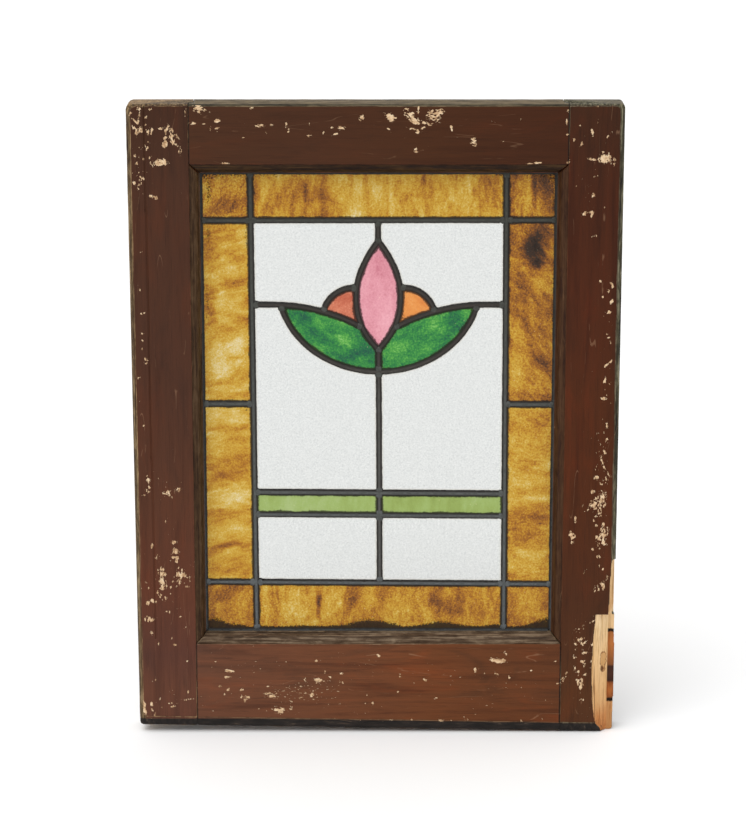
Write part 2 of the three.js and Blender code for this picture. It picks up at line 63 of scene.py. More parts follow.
# ---------------------------------------------------------------- the lead pattern

UPRIGHTS = {
    "came_border_left": (-121.9, -124.3),
    "came_border_right": (130.6, 128.6),
    "came_tip": (4.1, 1.7),
    "came_leaf_divider": (4.1, 1.7),
    "came_stem": (4.1, 1.7),
    "came_band_divider": (4.1, 1.7),
    "came_root": (4.1, 1.7),
}
LEVELS = {
    "came_foot_left": (154.3, 151.6),
    "came_foot": (154.3, 151.6),
    "came_foot_right": (154.3, 151.6),
    "came_band_lower": (226.2, 223.4),
    "came_band_upper": (249.6, 247.1),
    "came_side_left": (341.4, 340.6),
    "came_side_right": (341.4, 340.6),
    "came_head_left": (528.2, 528.6),
    "came_head": (528.2, 528.6),
    "came_head_right": (528.2, 528.6),
}
# The opening in the face of the sash and the sight line at the glass: left, right, bottom, top.
OPEN_LEFT, OPEN_RIGHT, OPEN_FOOT, OPEN_HEAD = -183.5, 188.5, 92.5, 586.7
SIGHT_LEFT, SIGHT_RIGHT, SIGHT_FOOT, SIGHT_HEAD = -173.5, 178.5, 102.5, 576.7
LEAD_WIDTH, LEAD_THICKNESS, LEAD_HEART, LEAD_CHANNEL = 5.2, 5.4, 1.4, 3.3


def upright(foot, head):
    """A straight line up the panel, leaning evenly from its foot to its head."""
    z = np.arange(97.0, 583.0, 1.5)
    return np.stack([foot + (head - foot) * (z - 99.8) / 479.6, z], 1)


def level(left, right):
    """A straight line across the panel, tilting evenly from left to right."""
    x = np.arange(-181.0, 186.0, 1.5)
    return np.stack([x, left + (right - left) * (x + 176.2) / 357.4], 1)


def petal_side(side):
    """The petal's side: its half-width falls off above and below the widest level as a power of the distance."""
    z = np.arange(397.2, 507.5, 1.0)
    share = np.where(z > 452.2, (z - 452.2) / 55.2, (452.2 - z) / 55.0)
    power = np.where(z > 452.2, 1.9, 2.4)
    return np.stack([2.3 + side * 22.2 * (1 - np.clip(share, 0, 1) ** power), z], 1)


def leaf_top(side):
    """The leaf's upper side: level beside the border, then bending down towards the petal's foot along a wide circle."""
    flat = np.arange(128.5, 106.0, -1.5)
    turn = np.radians(np.arange(90.0, 123.0, 0.45))
    x = np.concatenate([flat, 106 + 186 * np.cos(turn)])
    z = np.concatenate([flat * 0 + 442.9, 256.9 + 186 * np.sin(turn)])
    return np.stack([2.85 + side * x, z], 1)


def arc(x, z, reach, height, first, last):
    """Part of an ellipse about a centre, from one angle to another in degrees."""
    turn = np.radians(np.linspace(first, last, 130))
    return np.stack([x + reach * np.cos(turn), z + height * np.sin(turn)], 1)


def lead_lines():
    """The middle line of every lead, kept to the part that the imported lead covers."""
    lines = {name: upright(*ends) for name, ends in UPRIGHTS.items()}
    lines.update({name: level(*ends) for name, ends in LEVELS.items()})
    lines["came_petal_left"], lines["came_petal_right"] = petal_side(-1), petal_side(1)
    lines["came_leaf_left"], lines["came_leaf_right"] = leaf_top(-1), leaf_top(1)
    lines["came_sepal_left"] = arc(2.85 - 25.3, 429.2, 30.8, 30.8, 40, 190)
    lines["came_sepal_right"] = arc(2.85 + 25.3, 429.2, 30.8, 30.8, 140, -10)
    lines["came_bowl"] = arc(2.85, 462.3, 100.3, 88.0, 192.74, 347.26)
    for name, line in lines.items():
        low, high = (np.array(corner)[[0, 2]] * 1000 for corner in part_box(name))
        inside = ((line > low - 0.1) & (line < high + 0.1)).all(1)
        lines[name] = line[inside]
    for name in ("came_edge_left", "came_edge_right", "came_edge_bottom", "came_edge_top"):
        low, high = (np.array(corner)[[0, 2]] * 1000 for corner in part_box(name))
        middle = (low + high) / 2
        tall = high[1] - low[1] > high[0] - low[0]
        run = np.arange(low[tall * 1], high[tall * 1], 1.5)
        still = np.full(len(run), middle[1 - tall * 1])
        lines[name] = np.stack([still, run] if tall else [run, still], 1)
    return lines


# ---------------------------------------------------------------- numbers over points


def lattice(i, j, k, seed):
    """A repeatable random number from -1 to 1 for every whole place of a lattice."""
    n = (i * 73856093) ^ (j * 19349663) ^ (k * 83492791) ^ (seed * 40503)
    n = (n & 0x7FFFFFFF).astype(np.uint64)
    n = ((n ^ (n >> np.uint64(15))) * np.uint64(2246822519)) & np.uint64(0xFFFFFFFF)
    n = ((n ^ (n >> np.uint64(13))) * np.uint64(3266489917)) & np.uint64(0xFFFFFFFF)
    return ((n ^ (n >> np.uint64(16))) & np.uint64(0xFFFF)).astype(float) / 32767.5 - 1


def lumps(points, wave, seed, octaves=1):
    """Smooth lumps from -1 to 1: values at lattice places a wave apart, eased between; each octave halves both."""
    total, weight = 0.0, 0.0
    wave = np.broadcast_to(np.asarray(wave, float), 3)
    for octave in range(octaves):
        place = points / (wave / 2**octave) + 31.7 * octave
        cell = np.floor(place).astype(np.int64)
        part = place - cell
        part = part * part * (3 - 2 * part)
        value = 0.0
        for a in (0, 1):
            for b in (0, 1):
                for c in (0, 1):
                    share = np.abs(1 - a - part[:, 0]) * np.abs(1 - b - part[:, 1]) * np.abs(1 - c - part[:, 2])
                    value = value + share * lattice(cell[:, 0] + a, cell[:, 1] + b, cell[:, 2] + c, seed + octave)
        total, weight = total + value / 2**octave, weight + 1 / 2**octave
    return total / weight


def eased(low, high, value):
    """0 below low, 1 above high and a smooth step between."""
    share = np.clip((value - low) / (high - low), 0, 1)
    return share * share * (3 - 2 * share)


def gap_to(points, starts, ends):
    """The distance from each point to the nearest of a set of straight lines."""
    run = ends - starts
    square = np.maximum((run * run).sum(1), 1e-9)
    out = np.empty(len(points))
    for i in range(0, len(points), 3000):
        block = points[i : i + 3000, None, :] - starts
        share = np.clip((block * run).sum(2) / square, 0, 1)
        out[i : i + 3000] = np.sqrt(((block - share[..., None] * run) ** 2).sum(2).min(1))
    return out


def marked(points, marks):
    """The strongest of a list of oval marks (x, z, length, width, turn in degrees, strength): strength at the middle, half at the rim."""
    field = np.zeros(len(points))
    (west, _, foot), (east, _, head) = points.min(0) - 12, points.max(0) + 12
    for x, z, long, wide, turn, strength in marks:
        if not (west < x < east and foot < z < head):
            continue
        c, s = math.cos(math.radians(turn)), math.sin(math.radians(turn))
        u, v = points[:, 0] - x, points[:, 2] - z
        along, across = (u * c + v * s) * 2 / long, (v * c - u * s) * 2 / wide
        field = np.maximum(field, strength * np.exp2(-along * along - across * across))
    return field


# ---------------------------------------------------------------- meshes


def opened(node):
    """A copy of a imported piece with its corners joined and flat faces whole, and the lines of its outward corners."""
    shape = bmesh.new()
    shape.from_mesh(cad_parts[node].data)
    bmesh.ops.remove_doubles(shape, verts=shape.verts, dist=2e-6)
    bmesh.ops.dissolve_limit(shape, angle_limit=0.008, verts=shape.verts[:], edges=shape.edges[:])
    shape.normal_update()
    corners = [e for e in shape.edges if e.is_convex and e.calc_face_angle(0.0) > 0.35]
    lines = np.array([[v.co[:] for v in e.verts] for e in corners]) * 1000
    return shape, lines


def sliced(shape, faces, axis, places):
    """Cuts faces along flat planes square to an axis, halving the list each time so that a plane only meets faces near it."""
    if not len(places) or not faces:
        return faces
    half = len(places) // 2
    at = places[half] * MM
    spot, aim = Vector((0, 0, 0)), Vector((0, 0, 0))
    spot[axis], aim[axis] = at, 1.0
    crossed, low, high = [], [], []
    for face in faces:
        reach = [v.co[axis] for v in face.verts]
        if min(reach) < at - 1e-7 and max(reach) > at + 1e-7:
            crossed.append(face)
        elif max(reach) <= at + 1e-7:
            low.append(face)
        else:
            high.append(face)
    if crossed:
        edges = {e for f in crossed for e in f.edges}
        points = {v for f in crossed for v in f.verts}
        cut = bmesh.ops.bisect_plane(shape, geom=[*points, *edges, *crossed], dist=1e-7, plane_co=spot, plane_no=aim)
        for face in cut["geom"]:
            if isinstance(face, bmesh.types.BMFace):
                (low if face.calc_center_bounds()[axis] < at else high).append(face)
    return sliced(shape, low, axis, places[:half]) + sliced(shape, high, axis, places[half + 1 :])


def meshed(name, shape=None, points=None, faces=None):
    """A new object from a bmesh, or from points in millimetres and faces."""
    mesh = bpy.data.meshes.new(name)
    if shape is not None:
        shape.to_mesh(mesh)
        shape.free()
    else:
        mesh.from_pydata((points * MM).tolist(), [], faces)
    mesh.polygons.foreach_set("use_smooth", np.ones(len(mesh.polygons), bool))
    thing = bpy.data.objects.new(name, mesh)
    bpy.context.collection.objects.link(thing)
    return thing


def places_of(mesh):
    """The points and outward directions of a mesh as whole arrays, points in millimetres."""
    points, normals = np.empty(len(mesh.vertices) * 3), np.empty(len(mesh.vertices) * 3)
    mesh.vertices.foreach_get("co", points)
    mesh.vertices.foreach_get("normal", normals)
    return points.reshape(-1, 3) * 1000, normals.reshape(-1, 3)


def move_to(mesh, points):
    """Puts a mesh's points at new places given in millimetres."""
    mesh.vertices.foreach_set("co", (points * MM).ravel())
    mesh.update()


def note(mesh, name, values):
    """Keeps one number for every point of a mesh under a name that its finish can read."""
    mesh.attributes.new(name, "FLOAT", "POINT").data.foreach_set("value", np.asarray(values, np.float32))


# ---------------------------------------------------------------- shader building


def paint(red, green, blue):
    """A colour given as screen values from 0 to 255."""
    return tuple(c / 12.92 if c < 0.04045 else ((c + 0.055) / 1.055) ** 2.4 for c in (red / 255, green / 255, blue / 255)) + (1.0,)


def lowered(colour):
    """A wood tone taken down a little, for the light that the sheen of the varnish adds to it."""
    return tuple(max(0.93 * c - 0.011, 0.002) for c in colour[:3]) + (1.0,)


class Board:
    """Lays nodes in one tree; its methods give back output sockets. Sizes are in millimetres."""

    def __init__(self, tree):
        """Takes the node tree to fill."""
        self.tree = tree

    def add(self, kind, **settings):
        """A new node with its settings."""
        node = self.tree.nodes.new(kind)
        for key, value in settings.items():
            setattr(node, key, value)
        return node

    def feed(self, socket, value):
        """Links an output to a socket, or sets the socket to a plain value."""
        if isinstance(value, bpy.types.NodeSocket):
            self.tree.links.new(value, socket)
        elif value is not None:
            socket.default_value = value

    def calc(self, how, a, b=None, c=None, clamp=False):
        """Arithmetic on numbers."""
        node = self.add("ShaderNodeMath", operation=how, use_clamp=clamp)
        for socket, value in zip(node.inputs, (a, b, c)):
            self.feed(socket, value)
        return node.outputs[0]

    def vector(self, how, a, b):
        """Arithmetic on places."""
        node = self.add("ShaderNodeVectorMath", operation=how)
        self.feed(node.inputs[0], a)
        self.feed(node.inputs[1], b)
        return node.outputs[0]

    def noise(self, place, size, detail=3.0, rough=0.5, twist=0.0):
        """Soft noise from 0 to 1 with lumps of a given size."""
        node = self.add("ShaderNodeTexNoise")
        self.feed(node.inputs["Vector"], place)
        node.inputs["Scale"].default_value = 1000 / size
        node.inputs["Detail"].default_value = detail
        node.inputs["Roughness"].default_value = rough
        node.inputs["Distortion"].default_value = twist
        return node.outputs["Fac"]

    def noise_colour(self, place, size):
        """Soft noise as a place about nought, to bend another place with."""
        node = self.add_fed("ShaderNodeTexNoise", place)
        node.inputs["Scale"].default_value = 1000 / size
        return self.vector("SUBTRACT", node.outputs["Color"], (0.5, 0.5, 0.5))

    def shards(self, place, size):
        """One random value for each angular scrap of a broken-up surface."""
        node = self.add_fed("ShaderNodeTexVoronoi", place)
        node.inputs["Scale"].default_value = 1000 / size
        return self.axes(node.outputs["Color"])[0]

    def span(self, value, low, high, first=0.0, last=1.0):
        """Eases from one number to another as a value goes from low to high."""
        node = self.add("ShaderNodeMapRange", interpolation_type="SMOOTHSTEP")
        for socket, number in zip(node.inputs, (value, low, high, first, last)):
            self.feed(socket, number)
        return node.outputs[0]

    def blend(self, share, first, second, how="MIX"):
        """Mixes two colours by a share."""
        node = self.add("ShaderNodeMix", data_type="RGBA", blend_type=how)
        for number, value in zip((0, 6, 7), (share, first, second)):
            self.feed(node.inputs[number], value)
        return node.outputs[2]

    def ramp(self, value, stops):
        """The colour for a value, from stops of (place, colour)."""
        node = self.add("ShaderNodeValToRGB")
        self.feed(node.inputs[0], value)
        band = node.color_ramp.elements
        while len(band) < len(stops):
            band.new(0.5)
        for item, (at, colour) in zip(band, sorted(stops)):
            item.position = at
            item.color = colour if isinstance(colour, tuple) else (colour, colour, colour, 1)
        return node.outputs[0]

    def along(self, place, first, last):
        """0 at the first and 1 at the last of two millimetre marks of a value in metres."""
        node = self.add("ShaderNodeMapRange")
        for socket, number in zip(node.inputs, (place, first * MM, last * MM, 0.0, 1.0)):
            self.feed(socket, number)
        return node.outputs[0]

    def axes(self, place):
        """The three numbers of a place."""
        return self.add_fed("ShaderNodeSeparateXYZ", place).outputs

    def add_fed(self, kind, *values):
        """A new node with its first sockets fed in order."""
        node = self.add(kind)
        for socket, value in zip(node.inputs, values):
            self.feed(socket, value)
        return node

    def read(self, name):
        """A number kept on the mesh by note."""
        return self.add("ShaderNodeAttribute", attribute_name=name).outputs["Fac"]

    def use(self, group, *values):
        """One of the shared groups, fed in order; gives its outputs."""
        node = self.add("ShaderNodeGroup", node_tree=group)
        for socket, value in zip(node.inputs, values):
            self.feed(socket, value)
        return node.outputs


def group(name, takes, gives, build):
    """A shared group: build(board, inputs) gives the values of its outputs in order."""
    tree = bpy.data.node_groups.new(name, "ShaderNodeTree")
    for label, kind in takes:
        tree.interface.new_socket(label, in_out="INPUT", socket_type="NodeSocket" + kind)
    for label, kind in gives:
        tree.interface.new_socket(label, in_out="OUTPUT", socket_type="NodeSocket" + kind)
    board = Board(tree)
    results = build(board, board.add("NodeGroupInput").outputs)
    end = board.add("NodeGroupOutput")
    for socket, value in zip(end.inputs, results):
        board.feed(socket, value)
    return tree


def long_grain(b, inputs):
    """Grain of a board whose first axis runs along it: fine pores, broad bands and slow patches."""
    place = inputs[0]
    fine = b.noise(b.vector("MULTIPLY", place, (0.035, 1, 1)), 1.1, 5, 0.65)
    broad = b.noise(b.vector("MULTIPLY", place, (0.06, 1, 1)), 9, 3, 0.55, 0.4)
    patch = b.noise(b.vector("MULTIPLY", place, (0.35, 1, 1)), 34, 4, 0.6, 0.6)
    return fine, broad, patch


def flaked(b, inputs):
    """Where varnish has flaked away round a field of marks, with ragged rims; the second value varies inside a flake."""
    place, field = inputs[0], inputs[1]
    stretched = b.vector("MULTIPLY", place, (0.6, 1, 1))
    bent = b.vector("ADD", stretched, b.vector("MULTIPLY", b.noise_colour(stretched, 2.0), (0.0012, 0.0012, 0.0012)))
    ragged = b.calc("ADD", b.calc("MULTIPLY", b.shards(bent, 1.5), 0.62), b.calc("MULTIPLY", b.shards(bent, 4.2), 0.5))
    ragged = b.calc("ADD", ragged, b.calc("MULTIPLY", b.noise(stretched, 1.2, 3, 0.7), 0.5))
    mask = b.span(b.calc("ADD", field, b.calc("SUBTRACT", ragged, 0.86)), 0.49, 0.53)
    return b.calc("MULTIPLY", mask, b.span(field, 0.06, 0.2)), b.noise(stretched, 3.2, 4, 0.7)


def rubbed(b, inputs):
    """Where a corner is rubbed bare: near the corner line, broken up by noise. The third input is the reach in millimetres."""
    place, gap, reach = inputs[0], inputs[1], inputs[2]
    lump = b.noise(b.vector("MULTIPLY", place, (0.2, 1, 1)), 7, 5, 0.65)
    near = b.calc("SUBTRACT", 1.0, b.calc("DIVIDE", gap, reach))
    return (b.span(b.calc("ADD", near, b.calc("MULTIPLY", lump, 2.2)), 1.65, 1.9),)


def specks(b, inputs):
    """Small scattered specks drawn out along the board; the second input is how many, from 0 to 1."""
    place, amount = inputs[0], inputs[1]
    dots = b.noise(b.vector("MULTIPLY", place, (0.5, 1, 1)), 1.9, 2.5, 0.65)
    cloud = b.noise(b.vector("MULTIPLY", place, (0.4, 1, 1)), 30, 3, 0.6)
    level = b.calc("SUBTRACT", 0.79, b.calc("MULTIPLY", b.calc("MULTIPLY", amount, b.span(cloud, 0.36, 0.62)), 0.165))
    return (b.span(b.calc("SUBTRACT", dots, level), 0.0, 0.02),)


def scratches(b, inputs):
    """Hairline scratches: the level lines of a stretched noise, kept only here and there."""
    place = inputs[0]
    drawn = b.noise(b.vector("MULTIPLY", place, (0.12, 1, 1)), 17, 1, 0.4, 0.0)
    line = b.span(b.calc("ABSOLUTE", b.calc("SUBTRACT", drawn, 0.5)), 0.004, 0.0015)
    return (b.calc("MULTIPLY", line, b.span(b.noise(b.vector("MULTIPLY", place, (0.5, 1, 1)), 17, 3, 0.6), 0.53, 0.6)),)


def cement_and_shade(b, inputs):
    """Cement and painted shade beside a line: thick at the line and ragged outwards. The third input is the reach in
    millimetres.
    """
    place, gap, reach = inputs[0], inputs[1], inputs[2]
    ragged = b.calc("MULTIPLY", b.noise(place, 1.6, 4, 0.7), b.noise(place, 13, 3, 0.6))
    near = b.calc("SUBTRACT", 1.0, b.calc("DIVIDE", gap, reach))
    return (b.span(b.calc("ADD", near, b.calc("MULTIPLY", ragged, 1.6)), 0.95, 1.25),)


def streaks(b, inputs):
    """Streaked opal glass whose first axis is the way it was pulled: long streaks, soft clouds and fine lines."""
    place = inputs[0]
    drift = b.add_fed("ShaderNodeTexNoise", place)
    drift.inputs["Scale"].default_value = 1000 / 60
    drift.inputs["Detail"].default_value = 1.5
    bent = b.vector("ADD", place, b.vector("MULTIPLY", drift.outputs["Color"], (0.02, 0.03, 0.02)))
    streak = b.noise(b.vector("MULTIPLY", bent, (0.3, 1, 1)), 12, 3, 0.55, 0.4)
    cloud = b.noise(b.vector("MULTIPLY", bent, (0.6, 1, 1)), 26, 3, 0.55, 0.8)
    line = b.noise(b.vector("MULTIPLY", bent, (0.12, 1, 1)), 3.0, 2, 0.6)
    return streak, cloud, line


LONG_GRAIN = group("long grain", [("Place", "Vector")], [("Fine", "Float"), ("Broad", "Float"), ("Patch", "Float")], long_grain)
FLAKED = group("flaked varnish", [("Place", "Vector"), ("Field", "Float")], [("Mask", "Float"), ("Inside", "Float")], flaked)
RUBBED = group("rubbed corner", [("Place", "Vector"), ("Gap", "Float"), ("Reach", "Float")], [("Mask", "Float")], rubbed)
SPECKS = group("small specks", [("Place", "Vector"), ("Amount", "Float")], [("Mask", "Float")], specks)
SCRATCHES = group("hairline scratches", [("Place", "Vector")], [("Mask", "Float")], scratches)
CEMENT_AND_SHADE = group("cement and painted shade", [("Place", "Vector"), ("Gap", "Float"), ("Reach", "Float")], [("Mask", "Float")], cement_and_shade)
STREAKS = group("glass streaks", [("Place", "Vector")], [("Streak", "Float"), ("Cloud", "Float"), ("Line", "Float")], streaks)


def material(name, **plain):
    """A material with its board, its Principled shader and any plain values set on that shader's sockets."""
    made = bpy.data.materials.new(name)
    made.use_nodes = True
    shader = made.node_tree.nodes["Principled BSDF"]
    for label, value in plain.items():
        shader.inputs[label.replace("_", " ")].default_value = value
    return made, Board(made.node_tree), shader


def bump(b, shader, height, distance, strength=1.0):
    """Raises and lowers the look of a surface by a value times a distance in millimetres."""
    node = b.add("ShaderNodeBump")
    node.inputs["Strength"].default_value = strength
    node.inputs["Distance"].default_value = distance * MM
    b.feed(node.inputs["Height"], height)
    b.feed(shader.inputs["Normal"], node.outputs[0])


def own_place(b):
    """Where a point is on its own object."""
    return b.add("ShaderNodeTexCoord").outputs["Object"]


# ---------------------------------------------------------------- finishes


def varnished(name, upright_board, tones, shift, inner, outer, rubs, speck=1.0, mottle=1.0):
    """Old red-brown varnish over pale wood: toned along the board, grain, patches, rubbed corners, flakes, specks and
    scratches.
    inner and outer are the (dark, middle, light) tones of the moulding round the glass, with painted shade of its
    recess in them, and of the outer edges;
    rubs are the tones of the outer and the inner corners where the varnish is rubbed through."""
    made, b, shader = material(name, Metallic=0.0, Specular_IOR_Level=0.15)
    place = own_place(b)
    x, y, z = b.axes(place)
    turned = b.add_fed("ShaderNodeCombineXYZ", *((z, x, y) if upright_board else (x, z, y))).outputs[0]
    turned = b.vector("ADD", turned, (shift, shift * 0.7, 0.0))
    fine, broad, patch = b.use(LONG_GRAIN, turned)
    run = z if upright_board else x
    first, last = tones[0][0], tones[-1][0]
    base = b.ramp(b.along(run, first, last), [((at - first) / (last - first), lowered(paint(*tone))) for at, tone in tones])
    for value, start, end, most, tint in (
        (patch, 0.52, 0.7, 0.6 * mottle, (1.5, 1.12, 0.85)), (patch, 0.48, 0.32, 0.6 * mottle, (0.62, 0.72, 0.85)),
        (broad, 0.5, 0.72, 0.7 * mottle, (0.6, 0.58, 0.6)),
        (broad, 0.46, 0.3, 0.4 * mottle, (1.35, 1.2, 1.1)), (fine, 0.52, 0.8, 0.8, (0.5, 0.5, 0.5)), (fine, 0.46, 0.26, 0.35, (1.5, 1.4, 1.35)),
    ):
        base = b.blend(b.span(value, start, end, 0.0, most), base, b.blend(1.0, base, (*tint, 1), "MULTIPLY"))
    worn_line = b.noise(b.vector("MULTIPLY", turned, (0.03, 1, 1)), 2.4, 5, 0.7)
    mould = b.noise(b.vector("MULTIPLY", turned, (0.3, 1, 1)), 4.5, 5, 0.7, 0.5)
    weather = b.calc("ADD", b.calc("MULTIPLY", worn_line, 0.62), b.calc("MULTIPLY", mould, 0.38))
    # The moulding round the glass takes the inner tones, which hold painted shade of its recess; the outer edges take
    # the outer tones.
    for place_name, (dark, middle, light) in (("inside", inner), ("outside", outer)):
        tone = b.ramp(weather, [(0.4, lowered(paint(*dark))), (0.5, lowered(paint(*middle))), (0.6, lowered(paint(*light)))])
        base = b.blend(b.read(place_name), base, tone)
    wisp = b.noise(b.vector("MULTIPLY", turned, (0.05, 1, 1)), 4.0, 6, 0.75, 0.5)
    base = b.blend(b.span(wisp, 0.56, 0.66, 0.0, 0.5 * mottle), base, b.blend(1.0, base, (0.55, 0.55, 0.6, 1), "MULTIPLY"))
    base = b.blend(b.calc("MULTIPLY", b.span(b.read("seam"), 0.3, 0.9), b.span(wisp, 0.3, 0.55, 0.25, 0.9)), base, paint(34, 24, 20))
    # Darker along the foot of the sash: there the faces go to near black in a noisy ramp.
    darkened = b.noise(b.vector("MULTIPLY", turned, (0.2, 1, 1)), 3.5, 5, 0.7)
    base = b.blend(b.read("foot"), base, b.ramp(darkened, [(0.42, paint(26, 22, 20)), (0.6, paint(44, 37, 33)), (0.7, paint(74, 62, 52)), (0.78, paint(150, 130, 108))]))
    worn = b.use(RUBBED, turned, b.read("corner_gap"), 1.2)[0]
    near_glass = b.read("near_glass")
    rub = b.blend(near_glass, paint(*rubs[0]), paint(*rubs[1]))
    rub = b.blend(b.span(mould, 0.56, 0.44), rub, b.blend(1.0, rub, (0.5, 0.48, 0.46, 1), "MULTIPLY"))
    base = b.blend(b.calc("MULTIPLY", worn, b.span(near_glass, 0.0, 1.0, 0.85, 0.6)), base, rub)
    base = b.blend(b.calc("MULTIPLY", b.use(SCRATCHES, turned)[0], 0.2 * speck), base, paint(176, 136, 104))
    flake, within = b.use(FLAKED, turned, b.read("flaked"))
    bare = b.ramp(within, [(0.3, paint(126, 92, 64)), (0.42, paint(176, 140, 104)), (0.52, paint(210, 178, 140)), (0.66, paint(226, 202, 168))])
    dots = b.use(SPECKS, turned, b.calc("MULTIPLY", b.read("scuffed"), speck))[0]
    both = b.calc("MAXIMUM", flake, b.calc("MULTIPLY", dots, 0.8))
    base = b.blend(both, base, bare)
    b.feed(shader.inputs["Base Color"], base)
    b.feed(shader.inputs["Roughness"], b.blend(both, b.ramp(broad, [(0.3, 0.5), (0.7, 0.62)]), (0.85, 0.85, 0.85, 1)))
    bump(b, shader, b.calc("SUBTRACT", b.calc("MULTIPLY", fine, -0.5), both), 0.3)
    return made


def bare_wood(name):
    """Freshly broken softwood: long fibres and cracks, cream above and tan at the foot, a torn knot; the tenon end is darker, in bands."""
    made, b, shader = material(name, Metallic=0.0, Roughness=0.8, Specular_IOR_Level=0.15)
    place = own_place(b)
    x, y, z = b.axes(place)
    turned = b.add_fed("ShaderNodeCombineXYZ", z, x, y).outputs[0]
    fine, broad, patch = b.use(LONG_GRAIN, turned)
    fibre = b.noise(b.vector("MULTIPLY", turned, (0.06, 1, 1)), 2.6, 4, 0.7, 0.5)
    stops = [
        (0.0, (194, 128, 76)), (0.07, (206, 144, 90)), (0.16, (224, 176, 122)), (0.4, (236, 196, 144)), (0.6, (240, 208, 160)),
        (0.68, (242, 212, 168)), (0.72, (214, 168, 116)), (1.0, (228, 192, 142)),
    ]
    tone = b.ramp(b.along(z, 0, 180), [(at, paint(*colour)) for at, colour in stops])
    bands = [
        (0.0, (190, 138, 88)), (0.212, (200, 148, 98)), (0.222, (26, 18, 13)), (0.243, (26, 18, 13)), (0.255, (146, 84, 42)),
        (0.3, (170, 100, 50)), (0.36, (146, 82, 42)), (0.38, (56, 33, 25)), (0.44, (70, 41, 30)),
        (0.5, (58, 34, 26)), (0.52, (122, 74, 42)), (0.6, (152, 92, 50)), (0.7, (176, 108, 56)), (0.79, (160, 98, 52)), (0.8, (30, 20, 14)),
        (0.815, (30, 20, 14)), (0.825, (226, 186, 136)), (1.0, (234, 200, 150)),
    ]
    tilted = b.calc("ADD", z, b.calc("MULTIPLY", b.calc("SUBTRACT", b.noise(place, 9, 3, 0.6), 0.5), 0.006))
    block = b.ramp(b.along(tilted, 0, 128), [(at, paint(*colour)) for at, colour in bands])
    tone = b.blend(b.calc("MULTIPLY", b.span(x, 0.2366, 0.2376), b.span(z, 0.124, 0.121)), tone, block)
    for value, start, end, most, tint in (
        (broad, 0.45, 0.7, 0.5, (0.78, 0.68, 0.55)), (fibre, 0.53, 0.63, 0.75, (0.7, 0.58, 0.44)),
        (fibre, 0.46, 0.36, 0.6, (1.1, 1.12, 1.16)), (fine, 0.52, 0.7, 0.8, (0.62, 0.5, 0.38)),
    ):
        tone = b.blend(b.span(value, start, end, 0.0, most), tone, b.blend(1.0, tone, (*tint, 1), "MULTIPLY"))
    split = b.noise(b.vector("MULTIPLY", turned, (0.035, 1, 1)), 9, 2, 0.5, 0.3)
    crack = b.calc("MULTIPLY", b.span(b.calc("ABSOLUTE", b.calc("SUBTRACT", split, 0.5)), 0.02, 0.006), b.span(patch, 0.46, 0.56))
    tone = b.blend(b.calc("MULTIPLY", crack, 0.7), tone, paint(134, 86, 50))
    swirl = b.vector("MULTIPLY", b.vector("SUBTRACT", place, (0.2328, -0.0095, 0.0725)), (290, 60, 105))
    swirl = b.vector("ADD", swirl, b.vector("MULTIPLY", b.noise_colour(place, 6), (1.6, 0.0, 1.6)))
    around = b.add_fed("ShaderNodeVectorMath", swirl)
    around.operation = "LENGTH"
    round_knot = around.outputs["Value"]
    tone = b.blend(b.span(round_knot, 1.15, 0.75, 0.0, 0.7), tone, paint(196, 146, 90))
    ring = b.span(b.calc("ABSOLUTE", b.calc("SUBTRACT", round_knot, 0.95)), 0.16, 0.04)
    tone = b.blend(b.calc("MULTIPLY", ring, b.span(patch, 0.6, 0.4, 0.35, 0.9)), tone, paint(126, 76, 40))
    hole = b.add_fed("ShaderNodeVectorMath", b.vector("MULTIPLY", b.vector("SUBTRACT", place, (0.2316, -0.0095, 0.0635)), (480, 60, 260)))
    hole.operation = "LENGTH"
    tone = b.blend(b.span(hole.outputs["Value"], 1.1, 0.5, 0.0, 0.85), tone, paint(96, 56, 30))
    b.feed(shader.inputs["Base Color"], tone)
    bump(b, shader, b.calc("ADD", b.calc("ADD", fine, fibre), b.calc("MULTIPLY", crack, -1.0)), 0.8)
    return made


def plain_wood(name):
    """The same wood left unpainted at the back: brown, dull and dusty."""
    made, b, shader = material(name, Metallic=0.0, Roughness=0.75, Specular_IOR_Level=0.2)
    place = own_place(b)
    x, y, z = b.axes(place)
    turned = b.add_fed("ShaderNodeCombineXYZ", z, x, y).outputs[0]
    fine, broad, _ = b.use(LONG_GRAIN, turned)
    tone = b.ramp(broad, [(0.3, paint(82, 58, 44)), (0.7, paint(108, 78, 56))])
    tone = b.blend(b.span(fine, 0.5, 0.75, 0.0, 0.5), tone, paint(52, 36, 28))
    b.feed(shader.inputs["Base Color"], tone)
    bump(b, shader, fine, 0.2)
    return made


def old_lead(name, tones, edge=(30, 27, 23)):
    """Old lead, toned up the panel: a painted lighter middle on the rounded face, and darker edges that stand for
    cement and for painted shade where the face turns away.
    """
    made, b, shader = material(name, Metallic=0.1, Specular_IOR_Level=0.3)
    place = own_place(b)
    lump = b.noise(place, 4, 5, 0.65)
    tone = b.ramp(b.along(b.axes(place)[2], 100, 580), [(at, paint(*colour)) for at, colour in tones])
    tone = b.blend(b.span(lump, 0.62, 0.38, 0.0, 0.7), tone, b.blend(1.0, tone, (0.5, 0.5, 0.48, 1), "MULTIPLY"))
    # Painted shade and cement: the lead goes darker towards both edges of its face.
    middle = b.calc("ABSOLUTE", b.read("across"))
    tone = b.blend(b.span(b.calc("ADD", middle, b.calc("MULTIPLY", lump, 0.9)), 0.72, 1.25), tone, paint(*edge))
    b.feed(shader.inputs["Base Color"], tone)
    b.feed(shader.inputs["Roughness"], b.ramp(lump, [(0.3, 0.45), (0.7, 0.65)]))
    bump(b, shader, b.noise(place, 1.5, 4, 0.6), 0.2)
    return made


